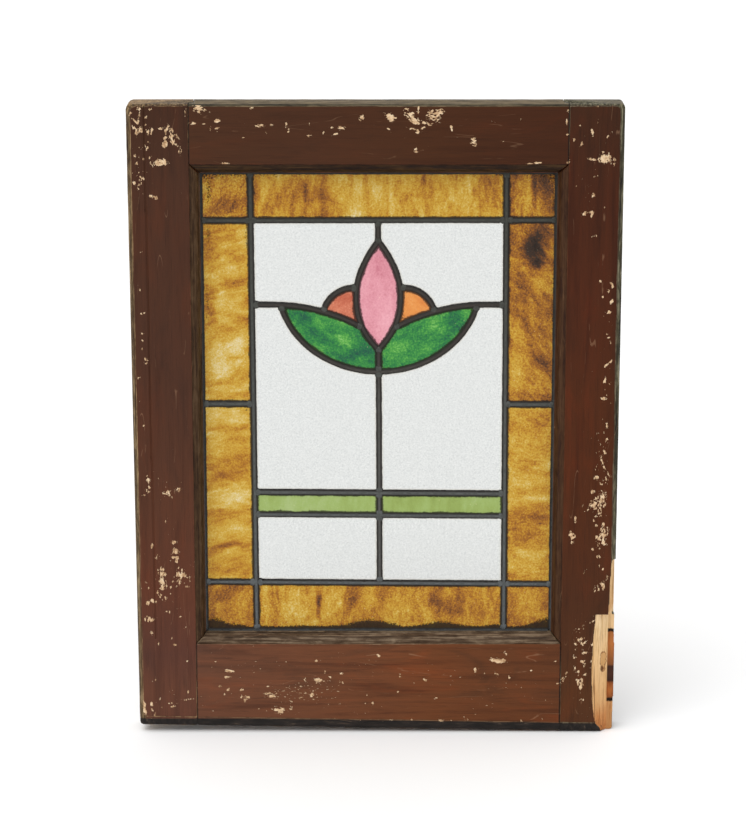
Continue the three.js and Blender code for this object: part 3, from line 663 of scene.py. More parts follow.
def streaked_glass(name, tones, flow, shift, lift, streaky, grainy):
    """Opal glass: slow patches kept on the pane, streaks pulled one way (flow, degrees from level), a fine grain, soot,
    and cement and painted shade beside the leads.
    tones are (place from 0 to 1, colour) from the darkest to the palest; lift moves the whole pane along them."""
    made, b, shader = material(name, Metallic=0.0, Roughness=0.24, Transmission_Weight=0.0, Specular_IOR_Level=0.3)
    place = own_place(b)
    x, _, z = b.axes(place)
    c, s = math.cos(math.radians(flow)), math.sin(math.radians(flow))
    first = b.calc("ADD", b.calc("MULTIPLY", x, c), b.calc("MULTIPLY", z, s))
    second = b.calc("SUBTRACT", b.calc("MULTIPLY", z, c), b.calc("MULTIPLY", x, s))
    turned = b.add_fed("ShaderNodeCombineXYZ", first, second, shift * MM).outputs[0]
    streak, cloud, line = b.use(STREAKS, turned)
    grain = b.noise(place, 1.9, 3, 0.9)
    smudge = b.noise(b.vector("MULTIPLY", turned, (0.6, 1, 1)), 6.5, 3, 0.6, 0.6)
    value = b.calc("ADD", b.read("tint"), lift)
    for part, weight in ((streak, streaky), (cloud, streaky * 0.8), (line, streaky * 0.3), (smudge, grainy * 0.9), (grain, grainy * 2.1)):
        value = b.calc("ADD", value, b.calc("MULTIPLY", b.calc("SUBTRACT", part, 0.5), weight))
    tone = b.ramp(value, [(at, paint(*colour)) for at, colour in tones])
    glint = b.calc("MULTIPLY", b.span(b.noise(place, 1.5, 2, 0.5), 0.7, 0.74), b.span(cloud, 0.4, 0.6, 0.3, 1.0))
    tone = b.blend(b.calc("MULTIPLY", glint, 0.7), tone, paint(246, 232, 186))
    # Painted shade with cement: a dark ragged band beside the leads.
    cement_shade = b.use(CEMENT_AND_SHADE, place, b.read("lead_gap"), 4.4)[0]
    spotted = b.span(b.calc("ADD", b.read("soot"), b.calc("MULTIPLY", b.calc("SUBTRACT", b.noise(place, 1.7, 4, 0.8), 0.5), 2.4)), 0.72, 0.95)
    dark = b.calc("MAXIMUM", b.calc("MULTIPLY", cement_shade, 0.9), b.calc("MULTIPLY", spotted, 0.94))
    tone = b.blend(dark, tone, paint(28, 20, 13))
    b.feed(shader.inputs["Base Color"], tone)
    b.feed(shader.inputs["Roughness"], b.blend(dark, (0.2, 0.2, 0.2, 1), (0.8, 0.8, 0.8, 1)))
    bump(b, shader, b.calc("ADD", streak, b.calc("ADD", b.noise(place, 3, 3, 0.5), b.calc("MULTIPLY", dark, 0.6))), 0.3)
    return made


def clear_glass(name):
    """Clear glass with a fine grained face, a few specks, a pale band of cement near the leads and a dark band of
    cement and painted shade beside them.
    """
    made, b, shader = material(name, Metallic=0.0, Roughness=0.12, Transmission_Weight=1.0, IOR=1.45)
    place = own_place(b)
    grain = b.noise(place, 1.8, 4, 0.7)
    tone = b.ramp(grain, [(0.3, paint(194, 197, 197)), (0.5, paint(217, 219, 217)), (0.7, paint(230, 231, 229))])
    speck = b.span(b.noise(place, 2.0, 2, 0.5), 0.765, 0.785)
    tone = b.blend(b.calc("MULTIPLY", speck, 0.5), tone, paint(120, 118, 112))
    tone = b.blend(b.span(b.read("lead_gap"), 3.0, 0.4, 0.0, 0.35), tone, paint(196, 188, 168))
    # Painted shade with cement: a dark ragged band beside the leads.
    cement_shade = b.use(CEMENT_AND_SHADE, place, b.read("lead_gap"), 1.7)[0]
    tone = b.blend(cement_shade, tone, paint(44, 40, 36))
    b.feed(shader.inputs["Base Color"], tone)
    bump(b, shader, grain, 0.1)
    return made


# ---------------------------------------------------------------- marks on the sash

# Flakes in the varnish: x, z, length, width, turn in degrees, strength.
CHIPS = [
    (-199, 164, 20, 15, 144, 0.6), (-198, 611, 21, 7, 118, 0.8), (-212, 589, 14, 6, 8, 1.0), (-217, 157, 13, 7, 101, 0.9),
    (-202, 254, 12, 7, 38, 0.5),
    (-230, 119, 9, 5, 176, 1.0), (-221, 619, 11, 6, 174, 0.7), (-231, 622, 12, 8, 146, 0.5), (-203, 191, 6, 5, 102, 1.0),
    (-217, 144, 12, 6, 151, 0.5),
    (-219, 555, 8, 3, 162, 1.0), (-212, 253, 9, 4, 6, 0.8), (-206, 607, 6, 4, 105, 1.0), (-217, 167, 7, 4, 165, 0.9), (-231, 255, 8, 3, 151, 0.8),
    (-227, 139, 6, 4, 118, 0.8), (-238, 24, 11, 2, 101, 0.8), (-203, 185, 6, 3, 177, 1.0), (-232, 136, 5, 4, 72, 0.9), (-218, 172, 7, 3, 5, 0.7),
    (-234, 618, 5, 2, 87, 1.0), (-211, 622, 4, 2, 8, 1.0), (-206, 613, 4, 3, 15, 0.9), (-229, 266, 4, 3, 76, 0.8), (-205, 92, 5, 3, 152, 0.8),
    (-230, 28, 5, 2, 101, 0.8), (-227, 16, 4, 3, 85, 0.8), (-229, 11, 6, 2, 169, 0.7), (-186, 638, 7, 2, 89, 1.0), (-230, 574, 5, 2, 138, 0.8),
    (-228, 259, 4, 2, 92, 0.9), (-204, 201, 4, 3, 5, 0.9), (-202, 181, 4, 2, 87, 0.9), (-195, 111, 4, 2, 84, 0.9), (-222, 92, 5, 2, 88, 0.8),
    (57, 636, 14, 11, 17, 1.0), (36, 633, 21, 7, 138, 0.8), (13, 634, 9, 6, 160, 1.0), (39, 620, 13, 5, 156, 0.6), (96, 610, 7, 5, 98, 1.0),
    (-34, 623, 9, 3, 174, 1.0), (-113, 625, 9, 3, 1, 1.0), (-15, 633, 5, 5, 89, 1.0), (39, 600, 6, 4, 118, 1.0), (-155, 630, 4, 3, 17, 1.0),
    (-172, 638, 3, 3, 146, 1.0), (-168, 627, 8, 2, 3, 0.7), (-102, 626, 4, 2, 8, 1.0), (-43, 623, 5, 2, 5, 0.8), (12, 622, 4, 2, 150, 0.9),
    (187, 639, 5, 2, 78, 0.8), (47, 628, 5, 2, 135, 0.7), (-121, 643, 3, 2, 23, 0.9), (51, 627, 5, 2, 134, 0.8), (-178, 627, 6, 2, 0, 1.0),
    (220, 241, 22, 8, 35, 0.8), (228, 206, 18, 8, 76, 0.8), (230, 279, 31, 6, 96, 0.5), (225, 592, 13, 8, 154, 1.0), (229, 251, 21, 8, 94, 0.5),
    (198, 207, 11, 5, 94, 0.7), (207, 51, 11, 4, 85, 0.7), (230, 154, 7, 4, 95, 1.0), (230, 219, 8, 3, 94, 1.0), (222, 269, 5, 4, 0, 1.0),
    (218, 254, 5, 4, 147, 1.0), (212, 538, 6, 3, 78, 1.0), (227, 351, 7, 3, 176, 0.8), (189, 589, 4, 4, 59, 1.0), (213, 556, 5, 3, 66, 1.0),
    (205, 538, 5, 3, 24, 0.9), (231, 308, 7, 2, 93, 0.8), (219, 193, 6, 3, 79, 0.9), (203, 66, 7, 2, 98, 0.9), (191, 55, 6, 3, 82, 0.9),
    (211, 618, 5, 3, 121, 1.0), (234, 465, 6, 2, 89, 0.8), (201, 226, 6, 2, 94, 0.9), (223, 154, 8, 2, 76, 0.7), (226, 151, 8, 2, 91, 0.8),
    (226, 235, 7, 2, 110, 0.7), (226, 176, 7, 2, 89, 0.8), (222, 599, 4, 2, 9, 0.9), (214, 515, 5, 2, 22, 0.8), (228, 369, 6, 2, 83, 0.7),
    (231, 321, 6, 2, 92, 0.7), (233, 586, 5, 2, 63, 0.8), (222, 229, 6, 2, 50, 0.6), (227, 229, 6, 2, 121, 0.7), (225, 186, 4, 3, 179, 0.9),
    (124, 75, 15, 4, 176, 1.0), (-99, 20, 14, 7, 158, 0.6), (-108, 37, 11, 4, 165, 1.0), (-59, 54, 10, 4, 178, 0.8), (-65, 38, 5, 4, 60, 0.9),
    (2, 80, 5, 4, 166, 0.9), (123, 60, 7, 3, 116, 0.7), (-131, 35, 5, 3, 174, 0.9), (-77, 35, 5, 3, 11, 0.7), (-61, 73, 5, 3, 68, 0.7),
    (-150, 63, 9, 2, 0, 0.9), (-73, 54, 6, 2, 98, 0.7), (50, 54, 4, 3, 158, 0.9), (-138, 36, 5, 2, 83, 0.8), (-35, 61, 4, 2, 179, 0.7),
    (-47, 57, 5, 2, 170, 0.7), (-87, 24, 4, 3, 92, 0.8), (132, 83, 4, 2, 109, 0.8), (159, 64, 3, 2, 154, 0.8), (65, 10, 7, 2, 0, 0.9),
    (-232, 641, 4, 3, 20, 0.9), (-240, 637, 4, 3, 70, 0.9), (-231, 635, 3, 2, 0, 0.9), (-220, 641, 4, 2, 10, 0.8),
    (-225, 633, 4, 2, 30, 0.8), (-235, 629, 12, 1.6, 130, 1.0), (-236, 623, 7, 1.6, 125, 1.0), (186, 629, 8, 1.4, 90, 0.9),
    (187, 616, 3, 2, 0, 0.9), (193, 611, 4, 3, 20, 0.9), (211, 618, 3, 3, 0, 0.9),
    (188, 589, 3, 2, 0, 0.9), (211, 592, 7, 2, 170, 0.9), (-172, 641, 12, 5, 168, 0.9), (-233, 11, 12, 2, 0, 0.9),
    (-238, 24, 10, 5, 100, 0.9), (-192, 33, 10, 1.6, 4, 0.8), (-195, 111, 3, 2, 0, 0.9),
    (-199, 122, 3, 2, 0, 0.9), (-208, 99, 3, 2, 60, 0.9), (-205, 92, 3, 2, 0, 0.9), (-193, 74, 4, 2, 30, 0.9), (-150, 64, 8, 2, 0, 0.8),
    (-151, 57, 8, 1.6, 5, 0.8), (-159, 47, 3, 2, 0, 0.9),
    (-151, 44, 4, 2, 45, 0.9), (-164, 74, 3, 2, 0, 0.9), (207, 109, 3, 2, 0, 0.9), (213, 94, 4, 3, 40, 0.9), (216, 83, 8, 2, 170, 0.9),
    (204, 78, 3, 2, 0, 0.9), (211, 74, 4, 2, 20, 0.9),
    (214, 71, 3, 3, 0, 0.9), (203, 66, 6, 2, 80, 0.9), (191, 56, 3, 2, 0, 0.9), (210, 49, 12, 2.4, 80, 1.0), (210, 50, 8, 2.4, 150, 1.0),
    (154, 588, 16, 2, 2, 0.8), (-149, 588, 20, 1.6, 0, 0.6),
]
# Where the smallest nicks gather: x, z, spread across, spread up, how many.
NICKED = [
    (228, 230, 14, 110, 35), (230, 420, 10, 200, 18), (210, 75, 34, 90, 30), (222, 590, 30, 80, 13), (-229, 590, 14, 100, 30),
    (-232, 400, 8, 260, 17), (-222, 170, 40, 90, 25),
    (-222, 30, 40, 50, 17), (-120, 628, 130, 34, 12), (60, 625, 220, 44, 15), (-60, 48, 220, 70, 30), (120, 40, 140, 60, 11), (0, 10, 440, 3, 11),
]
# Where small scuffs gather: x, z, length, width, turn, strength.
SCUFFED = [
    (-225, 600, 120, 60, 90, 1.0), (-205, 160, 110, 60, 90, 0.9), (-215, 255, 60, 50, 0, 0.7), (-150, 630, 120, 30, 0, 0.6),
    (20, 625, 180, 50, 0, 0.8),
    (215, 590, 110, 50, 90, 0.8), (228, 280, 260, 26, 90, 1.0), (212, 90, 180, 50, 90, 0.8), (-80, 45, 240, 70, 0, 0.9), (80, 45, 260, 70, 0, 0.6),
    (-232, 15, 60, 60, 0, 0.9),
]




def nicks(seed):
    """The smallest nicks as marks, scattered round each place of NICKED, most of them lying along or across the board."""
    rng = np.random.default_rng(seed)
    marks = []
    for x, z, wide, tall, count in NICKED:
        shift = rng.normal(0, 0.3, (count, 2)) * (wide, tall)
        long, turn = 1.6 + rng.gamma(1.6, 1.0, count), rng.choice([0, 90, 90, 100, 60, 20], count) + rng.normal(0, 12, count)
        rows = np.stack([x + shift[:, 0], z + shift[:, 1], long, np.minimum(long * 0.6, 1.9), turn, rng.uniform(0.6, 0.9, count)], 1)
        marks.extend(rows.tolist())
    return marks


CHIPS = CHIPS + nicks(31)

# ---------------------------------------------------------------- the sash


def is_front(face):
    """Whether a face of the sash lies in front of its middle third."""
    return face.calc_center_bounds()[1] < -0.0049


def worn_board(node, name, finish, upright_board, bare=None, bare_finish=None):
    """A sash piece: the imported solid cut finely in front, its corners rubbed round by up to half a millimetre, flakes sunk a little, broken faces fibrous."""
    shape, corners = opened(node)
    if bare is not None:
        for face in shape.faces:
            face.material_index = int(bare(face.calc_center_median() * 1000, face.normal))
    middle = corners.mean(1)
    joint = (np.minimum(np.abs(middle[:, 0] - OPEN_LEFT), np.abs(middle[:, 0] - OPEN_RIGHT)) < 2.5) & ((middle[:, 2] > 587) | (middle[:, 2] < 92))
    groove = (np.abs(middle[:, 0] + 225.5) < 4) & (middle[:, 2] > 20) & (middle[:, 2] < 640)
    seams = corners[joint & (corners[:, :, 1].max(1) < -12)]
    corners = corners[~joint & ~groove]
    low, high = (np.array(corner) * 1000 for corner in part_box(node))
    long, short = (2, 0) if upright_board else (0, 2)
    faces = sliced(shape, shape.faces[:], long, np.arange(math.ceil(low[long] / 4) * 4, high[long], 4.0))
    front = [f for f in faces if is_front(f)]
    ones = np.arange(math.ceil(low[long]), high[long], 1.0)
    front = sliced(shape, front, long, ones[ones % 4 != 0])
    sliced(shape, front, short, np.arange(math.ceil(low[short]), high[short], 1.0) + 0.35)
    thing = meshed(name, shape)
    mesh = thing.data
    points, normals = places_of(mesh)
    x, y, z = points.T
    gap = gap_to(points, corners[:, 0], corners[:, 1])
    facing = eased(-16.0, -17.0, y)
    behind = eased(-17.45, -17.1, y)
    chips = marked(points, CHIPS) * facing
    within = (x > -183.8) & (x < 188.8) & (z > 92.2) & (z < 587)
    outside = ((x < -236) | (x > 233) | (z < 11) | (z > 643)) & ~within
    note(mesh, "corner_gap", gap)
    note(mesh, "seam", np.exp(-((gap_to(points, seams[:, 0], seams[:, 1]) / 1.1) ** 2)) if len(seams) else x * 0)
    note(mesh, "flaked", chips)
    note(mesh, "scuffed", marked(points, SCUFFED) * facing)
    # The moulding round the glass: its tones carry painted shade.
    note(mesh, "inside", within * behind)
    note(mesh, "outside", outside * behind)
    note(mesh, "foot", (z < 12) * behind * (y < 10))
    note(mesh, "near_glass", eased(14, 4, np.maximum.reduce([OPEN_LEFT - x, x - OPEN_RIGHT, OPEN_FOOT - z, z - OPEN_HEAD])))
    sink = np.clip(1 - gap / 1.3, 0, 1) ** 1.5 * (0.22 + 0.2 * (lumps(points, 9, 3, 2) + 1))
    sink = sink + 0.12 * eased(0.45, 0.8, chips) + 0.05 * (lumps(points, 30, 5) + 1) * facing
    mesh.materials.append(finish)
    if bare is not None:
        mesh.materials.append(bare_finish)
        kinds, sizes, loops = (np.empty(n, np.int32) for n in (len(mesh.polygons), len(mesh.polygons), len(mesh.loops)))
        mesh.polygons.foreach_get("material_index", kinds)
        mesh.polygons.foreach_get("loop_total", sizes)
        mesh.loops.foreach_get("vertex_index", loops)
        torn = np.zeros(len(points))
        torn[loops[np.repeat(kinds, sizes) == 1]] = 1.0
        fibre = lumps(points, (2.2, 2.2, 46), 11, 2) * 0.6 + lumps(points, (4.5, 4.5, 11), 17) * 0.4
        sink = sink + torn * eased(-6.4, -8.0, y) * (0.5 + 0.5 * fibre)
        sink = sink * ~((x > 236) & (np.abs(y + 6.1) < 0.25) & (z > 15) & (z < 100))
    move_to(mesh, points - normals * sink[:, None])
    mesh.set_sharp_from_angle(angle=math.radians(50))
    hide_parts(node)
    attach(thing, "root")
    return thing


def stile_break(centre, aim):
    """Which flat faces of the right stile are broken wood: the slanting break, the floor behind it, the splinter line and their ends."""
    slanting = aim.x > 0.3 and aim.y < -0.3
    floor = aim.y < -0.9 and centre.y > -12 and centre.x > 236
    splinter = aim.x > 0.85 and 240.4 < centre.x < 242.45
    ends = aim.z < -0.9 and centre.x > 223 and centre.z > 100
    return centre.z < 182 and (slanting or floor or splinter or ends)


def tenon_end(centre, _aim):
    """Which flat faces of the bottom rail are its tenon, seen at the broken stile."""
    return centre.x > 190 and abs(centre.y) < 7


LEFT_TONES = [
    (0, (98, 64, 52)), (40, (102, 66, 52)), (81, (92, 60, 50)), (143, (98, 60, 46)), (246, (88, 57, 44)),
    (349, (80, 53, 42)), (452, (78, 52, 41)), (555, (78, 52, 41)), (646, (70, 48, 38)),
]
RIGHT_TONES = [
    (0, (84, 54, 38)), (40, (85, 54, 36)), (81, (82, 52, 36)), (143, (78, 48, 34)), (246, (82, 47, 29)),
    (349, (80, 46, 28)), (452, (78, 44, 29)), (555, (74, 43, 30)), (646, (68, 44, 33)),
]
TOP_TONES = [(-185, (77, 51, 38)), (-60, (77, 50, 37)), (60, (76, 48, 34)), (190, (70, 43, 30))]
BOTTOM_TONES = [(-185, (106, 70, 54)), (-60, (110, 70, 50)), (60, (108, 66, 43)), (190, (98, 60, 40))]
# Tones of the moulding round the glass hold painted shade: darkest on the top rail, whose moulding faces down; the
# bottom rail's, which faces up, is painted lighter and is also weathered grey.
LEFT_MOULDING_SHADED = ((50, 38, 28), (72, 54, 39), (92, 72, 54))
RIGHT_MOULDING_SHADED = ((52, 36, 26), (70, 49, 36), (84, 60, 44))
TOP_MOULDING_SHADED = ((36, 28, 20), (54, 40, 28), (76, 56, 38))
BOTTOM_MOULDING_WEATHERED_LIT = ((54, 42, 33), (90, 73, 58), (132, 115, 95))
LEFT_OUTER = ((44, 34, 26), (92, 74, 52), (150, 128, 96))
RIGHT_OUTER = ((34, 32, 25), (72, 68, 52), (138, 132, 108))
TOP_OUTER = ((40, 37, 30), (68, 62, 49), (104, 93, 72))

torn_wood = bare_wood("torn pale wood")
left_varnish = varnished("left stile varnish", True, LEFT_TONES, 0.0, LEFT_MOULDING_SHADED, LEFT_OUTER, ((152, 124, 88), (116, 66, 42)), mottle=0.6)
right_varnish = varnished("right stile varnish", True, RIGHT_TONES, 0.31, RIGHT_MOULDING_SHADED, RIGHT_OUTER, ((112, 102, 80), (100, 56, 34)), mottle=0.8)
top_varnish = varnished("top rail varnish", False, TOP_TONES, 0.57, TOP_MOULDING_SHADED, TOP_OUTER, ((112, 96, 70), (128, 60, 36)), 0.6, 0.5)
bottom_varnish = varnished("bottom rail varnish", False, BOTTOM_TONES, 0.83, BOTTOM_MOULDING_WEATHERED_LIT, TOP_OUTER, ((120, 92, 66), (150, 128, 100)), 1.2, 1.1)
worn_board("left_stile", "left_stile_worn", left_varnish, True)
worn_board("right_stile", "right_stile_worn", right_varnish, True, stile_break, torn_wood)
worn_board("top_rail", "top_rail_worn", top_varnish, False)
worn_board("bottom_rail", "bottom_rail_worn", bottom_varnish, False, tenon_end, torn_wood)

bead_wood = plain_wood("bead wood")
for side in ("left", "right", "bottom", "top"):
    shape, _ = opened("bead_" + side)
    bead = meshed(f"bead_{side}_worn", shape)
    bead.data.materials.append(bead_wood)
    bead.data.set_sharp_from_angle(angle=math.radians(30))
    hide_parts("bead_" + side)
    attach(bead, "root")


# ---------------------------------------------------------------- leads and solder


def came_section(width):
    """The lead's section as (across, forward): rounded faces, a channel at each side and a thin heart, going round once."""
    half, face, inner = width / 2, LEAD_THICKNESS / 2, LEAD_CHANNEL / 2
    across = np.array([-1, -0.94, -0.75, -0.45, -0.15, 0.15, 0.45, 0.75, 0.94, 1]) * half
    crown = face - 0.75 * np.abs(across / half) ** 2.6
    lip = [(half, inner), (LEAD_HEART / 2, inner), (LEAD_HEART / 2, -inner), (half, -inner)]
    top = list(zip(across, crown))
    return np.array(top + lip + [(-a, -c) for a, c in top] + [(-a, -c) for a, c in lip])


def came(name, line, width, seed):
    """A lead: its section carried along its line, a little wider and thicker here and there, ends closed."""
    step = np.gradient(line, axis=0)
    step /= np.linalg.norm(step, axis=1, keepdims=True)
    line = np.concatenate([[line[0] - step[0] * 0.6], line, [line[-1] + step[-1] * 0.6]])
    step = np.concatenate([step[:1], step, step[-1:]])
    side = np.stack([step[:, 1], -step[:, 0]], 1)
    section = came_section(width)
    rings, count = len(line), len(section)
    place = np.stack([line[:, 0], line[:, 0] * 0, line[:, 1]], 1)
    swell = 1 + 0.05 * lumps(place, 9, seed, 2)
    across = section[None, :, 0] * swell[:, None]
    forward = section[None, :, 1] * (1 + 0.03 * lumps(place, 6, seed + 7, 2))[:, None]
    points = np.empty((rings, count, 3))
    points[..., 0] = line[:, None, 0] + side[:, None, 0] * across
    points[..., 1] = -forward
    points[..., 2] = line[:, None, 1] + side[:, None, 1] * across
    flat = points.reshape(-1, 3)
    rough = lumps(flat, 2.2, seed + 3, 2) * (np.abs(np.broadcast_to(section[:, 0], (rings, count))).ravel() > width * 0.36)
    flat[:, 0] += rough * np.repeat(side[:, 0], count) * 0.22
    flat[:, 2] += rough * np.repeat(side[:, 1], count) * 0.22
    index = np.arange(rings * count).reshape(rings, count)
    after = np.roll(index, -1, 1)
    quads = np.stack([index[:-1], after[:-1], after[1:], index[1:]], -1).reshape(-1, 4)
    faces = quads.tolist() + [index[0][::-1].tolist(), index[-1].tolist()]
    thing = meshed(name + "_run", points=flat, faces=faces)
    shape = bmesh.new()
    shape.from_mesh(thing.data)
    if shape.calc_volume(signed=True) < 0:
        bmesh.ops.reverse_faces(shape, faces=shape.faces[:])
    shape.to_mesh(thing.data)
    shape.free()
    note(thing.data, "across", np.tile(section[:, 0] / (width / 2), rings))
    thing.data.materials.append(flower_lead if any(word in name for word in FLOWER) else border_lead)
    thing.data.set_sharp_from_angle(angle=math.radians(60))
    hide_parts(name)
    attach(thing, "root")


OUTER_LEAD = [(0.0, (92, 96, 98)), (0.3, (84, 86, 84)), (0.7, (70, 71, 66)), (1.0, (62, 62, 55))]
border_lead = old_lead("border lead", OUTER_LEAD)
flower_lead = old_lead("flower lead", [(0.0, (84, 84, 82)), (0.5, (80, 78, 74)), (0.62, (56, 50, 45)), (1.0, (60, 56, 50))])
FLOWER = ("petal", "leaf", "sepal", "bowl", "tip", "stem", "root", "divider")
LEAD_LINES = lead_lines()
for number, (name, line) in enumerate(LEAD_LINES.items()):
    width = 8.0 if "edge" in name else 6.0 if "side" in name else 5.7 if "band_upper" in name else 4.6 if any(word in name for word in FLOWER) else LEAD_WIDTH
    came(name, line, width, 100 + 13 * number)


def solder_joints():
    """One low rounded blob of solder over every meeting of leads, front and back: a flattened dome with an uneven rim."""
    ends = [line[k] for name, line in LEAD_LINES.items() if "edge" not in name for k in (0, -1)]
    spots = []
    for end in ends:
        if all(np.hypot(*(end - other)) > 5 for other in spots):
            spots.append(end)
    rim, shares, rises = 14, np.array([1.0, 0.82, 0.5, 0.22]), np.array([1.9, 2.5, 2.8, 2.9])
    turn = np.linspace(0, 2 * math.pi, rim, endpoint=False)
    index = np.arange(len(shares) * rim).reshape(-1, rim)
    after = np.roll(index, -1, 1)
    quads = np.stack([index[:-1], after[:-1], after[1:], index[1:]], -1).reshape(-1, 4)
    points, faces = [], []
    for n, spot in enumerate(spots):
        for front in (-1, 1):
            key = np.stack([np.cos(turn) + 5 * n, turn * 0 + front, np.sin(turn)], 1)
            reach = 3.5 * (1 + 0.2 * lumps(key, 0.8, 40 + n)) * shares[:, None]
            out = np.broadcast_to(front * rises[:, None], reach.shape)
            points.append(np.stack([spot[0] + reach * np.cos(turn), out, spot[1] + reach * np.sin(turn)], -1).reshape(-1, 3))
            start = index.size * (len(points) - 1)
            dome = [*(quads + start).tolist(), (index[-1] + start).tolist(), (index[0][::-1] + start).tolist()]
            faces.extend(dome if front < 0 else [face[::-1] for face in dome])
    points = np.concatenate(points)
    thing = meshed("solder_joints", points=points, faces=faces)
    note(thing.data, "across", np.full(len(points), 0.1))
    thing.data.materials.append(border_lead)
    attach(thing, "root")


solder_joints()

# ---------------------------------------------------------------- glass

# Slow patches of lighter (+) or darker (-) glass on each pane: x, z, width, height, turn, how much.
PATCHES = {
    "amber_left_upper": [
        (-139, 400, 19, 15, 0, 0.25), (-157, 386, 17, 29, 0, 0.22), (-134, 382, 12, 12, 0, 0.15), (-153, 453, 11, 18, 0, 0.1),
        (-153, 428, 20, 8, 0, 0.08), (-165, 441, 12, 39, 0, -0.2), (-143, 465, 23, 12, 0, -0.1), (-163, 488, 12, 25, 0, -0.08),
        (-138, 391, 15, 3, 8, -0.15), (-150, 361, 26, 14, 0, 0.05), (-129, 448, 8, 62, 0, -0.05),
    ],
    "amber_right_upper": [
        (158, 503, 17, 31, 0, -0.36), (158, 484, 12, 10, 0, -0.2), (164, 462, 24, 23, 0, 0.07), (137, 477, 10, 19, 0, 0.06),
        (147, 425, 44, 12, -55, -0.13), (165, 386, 36, 12, -54, -0.17), (135, 514, 10, 12, 0, -0.08), (139, 376, 15, 29, 0, 0.09),
        (171, 510, 8, 21, 0, -0.12), (168, 427, 14, 31, 0, -0.04), (143, 456, 20, 14, 0, -0.04),
    ],
    "amber_left_lower": [
        (-152, 329, 46, 15, 0, 0.13), (-144, 315, 32, 6, 5, -0.12), (-163, 300, 15, 31, 0, 0.09), (-150, 278, 46, 27, 0, -0.09),
        (-147, 245, 46, 19, 0, 0.17), (-151, 227, 46, 10, 0, -0.12), (-151, 208, 42, 19, 0, 0.07), (-147, 192, 42, 5, 10, -0.22),
        (-152, 172, 46, 25, 0, -0.09), (-134, 288, 10, 27, 0, -0.05),
    ],
    "amber_right_lower": [
        (170, 328, 12, 14, 0, -0.09), (154, 260, 36, 13, 0, 0.08), (161, 242, 32, 7, 0, 0.16), (152, 217, 46, 37, 0, -0.13),
        (153, 180, 42, 29, 0, 0.06), (145, 304, 30, 12, 0, 0.03), (157, 161, 40, 8, 0, -0.03),
    ],
    "amber_head_left": [
        (-138, 567, 16, 12, 0, 0.12), (-142, 544, 24, 15, 0, -0.17), (-156, 541, 14, 12, 0, -0.06), (-162, 564, 8, 25, 0, -0.1),
        (-130, 537, 10, 10, 0, 0.06),
    ],
    "amber_head": [
        (-69, 553, 5, 45, 0, -0.14), (-51, 553, 7, 45, 0, -0.14), (-69, 553, 46, 45, 0, -0.08), (-21, 553, 50, 52, 0, 0.08),
        (-107, 552, 30, 27, 0, -0.02), (-118, 553, 6, 31, 0, -0.12), (-55, 535, 14, 8, 0, -0.08), (43, 553, 120, 52, 0, 0.05),
        (74, 543, 6, 8, 0, -0.16), (32, 552, 8, 6, 0, -0.1), (111, 553, 16, 45, 0, -0.1), (46, 570, 5, 12, 0, -0.14),
        (19, 535, 10, 8, 0, -0.08), (93, 559, 8, 31, 0, 0.05), (120, 549, 8, 31, 0, -0.06),
    ],
    "amber_head_right": [
        (148, 551, 9, 47, 0, 0.17), (165, 566, 20, 19, 0, -0.22), (133, 553, 8, 41, 0, -0.12), (157, 551, 4, 41, 0, -0.12),
        (169, 546, 14, 21, 0, -0.08), (140, 543, 6, 25, 0, 0.05),
    ],
    "amber_foot_left": [(-157, 139, 22, 12, 0, -0.1), (-137, 130, 16, 21, 0, 0.05), (-168, 124, 8, 16, 0, -0.06), (-143, 147, 20, 6, 0, -0.05)],
    "amber_foot": [
        (-114, 130, 10, 45, 0, 0.13), (-103, 135, 12, 41, 0, -0.02), (-84, 132, 24, 45, 0, 0.15), (-58, 132, 5, 23, 0, -0.3),
        (-62, 111, 8, 8, 0, 0.1), (-44, 130, 22, 41, 0, 0.13), (-23, 137, 16, 27, 0, -0.13), (7, 131, 16, 41, 0, -0.12),
        (26, 129, 30, 41, 0, 0.), (59, 136, 14, 27, 0, -0.12), (86, 131, 40, 41, 0, -0.07), (117, 127, 12, 16, 0, 0.07),
        (104, 137, 12, 16, 0, -0.06), (72, 122, 24, 8, 0, -0.05),
    ],
    "amber_foot_right": [(153, 131, 20, 25, 0, 0.07), (173, 135, 12, 25, 0, -0.03), (139, 139, 10, 14, 0, -0.04)],
    "leaf_left": [
        (-15, 396, 24, 12, 20, -0.24), (-73, 431, 14, 9, -30, -0.16), (-33, 408, 18, 10, -25, 0.16), (-55, 422, 20, 10, -25, 0.08),
        (-38, 391, 24, 6, -20, -0.16), (-64, 416, 14, 8, -40, -0.06),
    ],
    "leaf_right": [
        (79, 426, 18, 21, 50, -0.24), (65, 402, 18, 10, 40, -0.16), (55, 424, 16, 12, 30, 0.13), (20, 398, 18, 16, 45, 0.13),
        (36, 409, 20, 8, 35, -0.02), (90, 436, 12, 6, 20, 0.04),
    ],
    "sepal_left": [(-27, 451, 14, 8, 0, -0.16), (-41, 441, 14, 10, 0, 0.06), (-26, 436, 8, 10, 0, 0.03)],
    "sepal_right": [(35, 443, 10, 16, 0, 0.06), (48, 448, 8, 8, 0, -0.04)],
    "petal": [(3, 486, 16, 27, 0, -0.12), (-4, 448, 10, 41, 0, -0.04), (6, 417, 14, 31, 0, 0.05), (12, 456, 6, 31, 0, -0.05)],
    "green_band_left": [(-116, 236, 8, 14, 0, -0.1), (-77, 238, 22, 19, 0, 0.05), (-31, 238, 10, 19, 0, -0.06), (-8, 238, 12, 19, 0, -0.06)],
    "green_band_right": [(18, 238, 12, 19, 0, -0.04), (55, 238, 14, 19, 0, 0.04), (77, 238, 10, 19, 0, -0.06), (115, 238, 18, 19, 0, 0.02)],
}
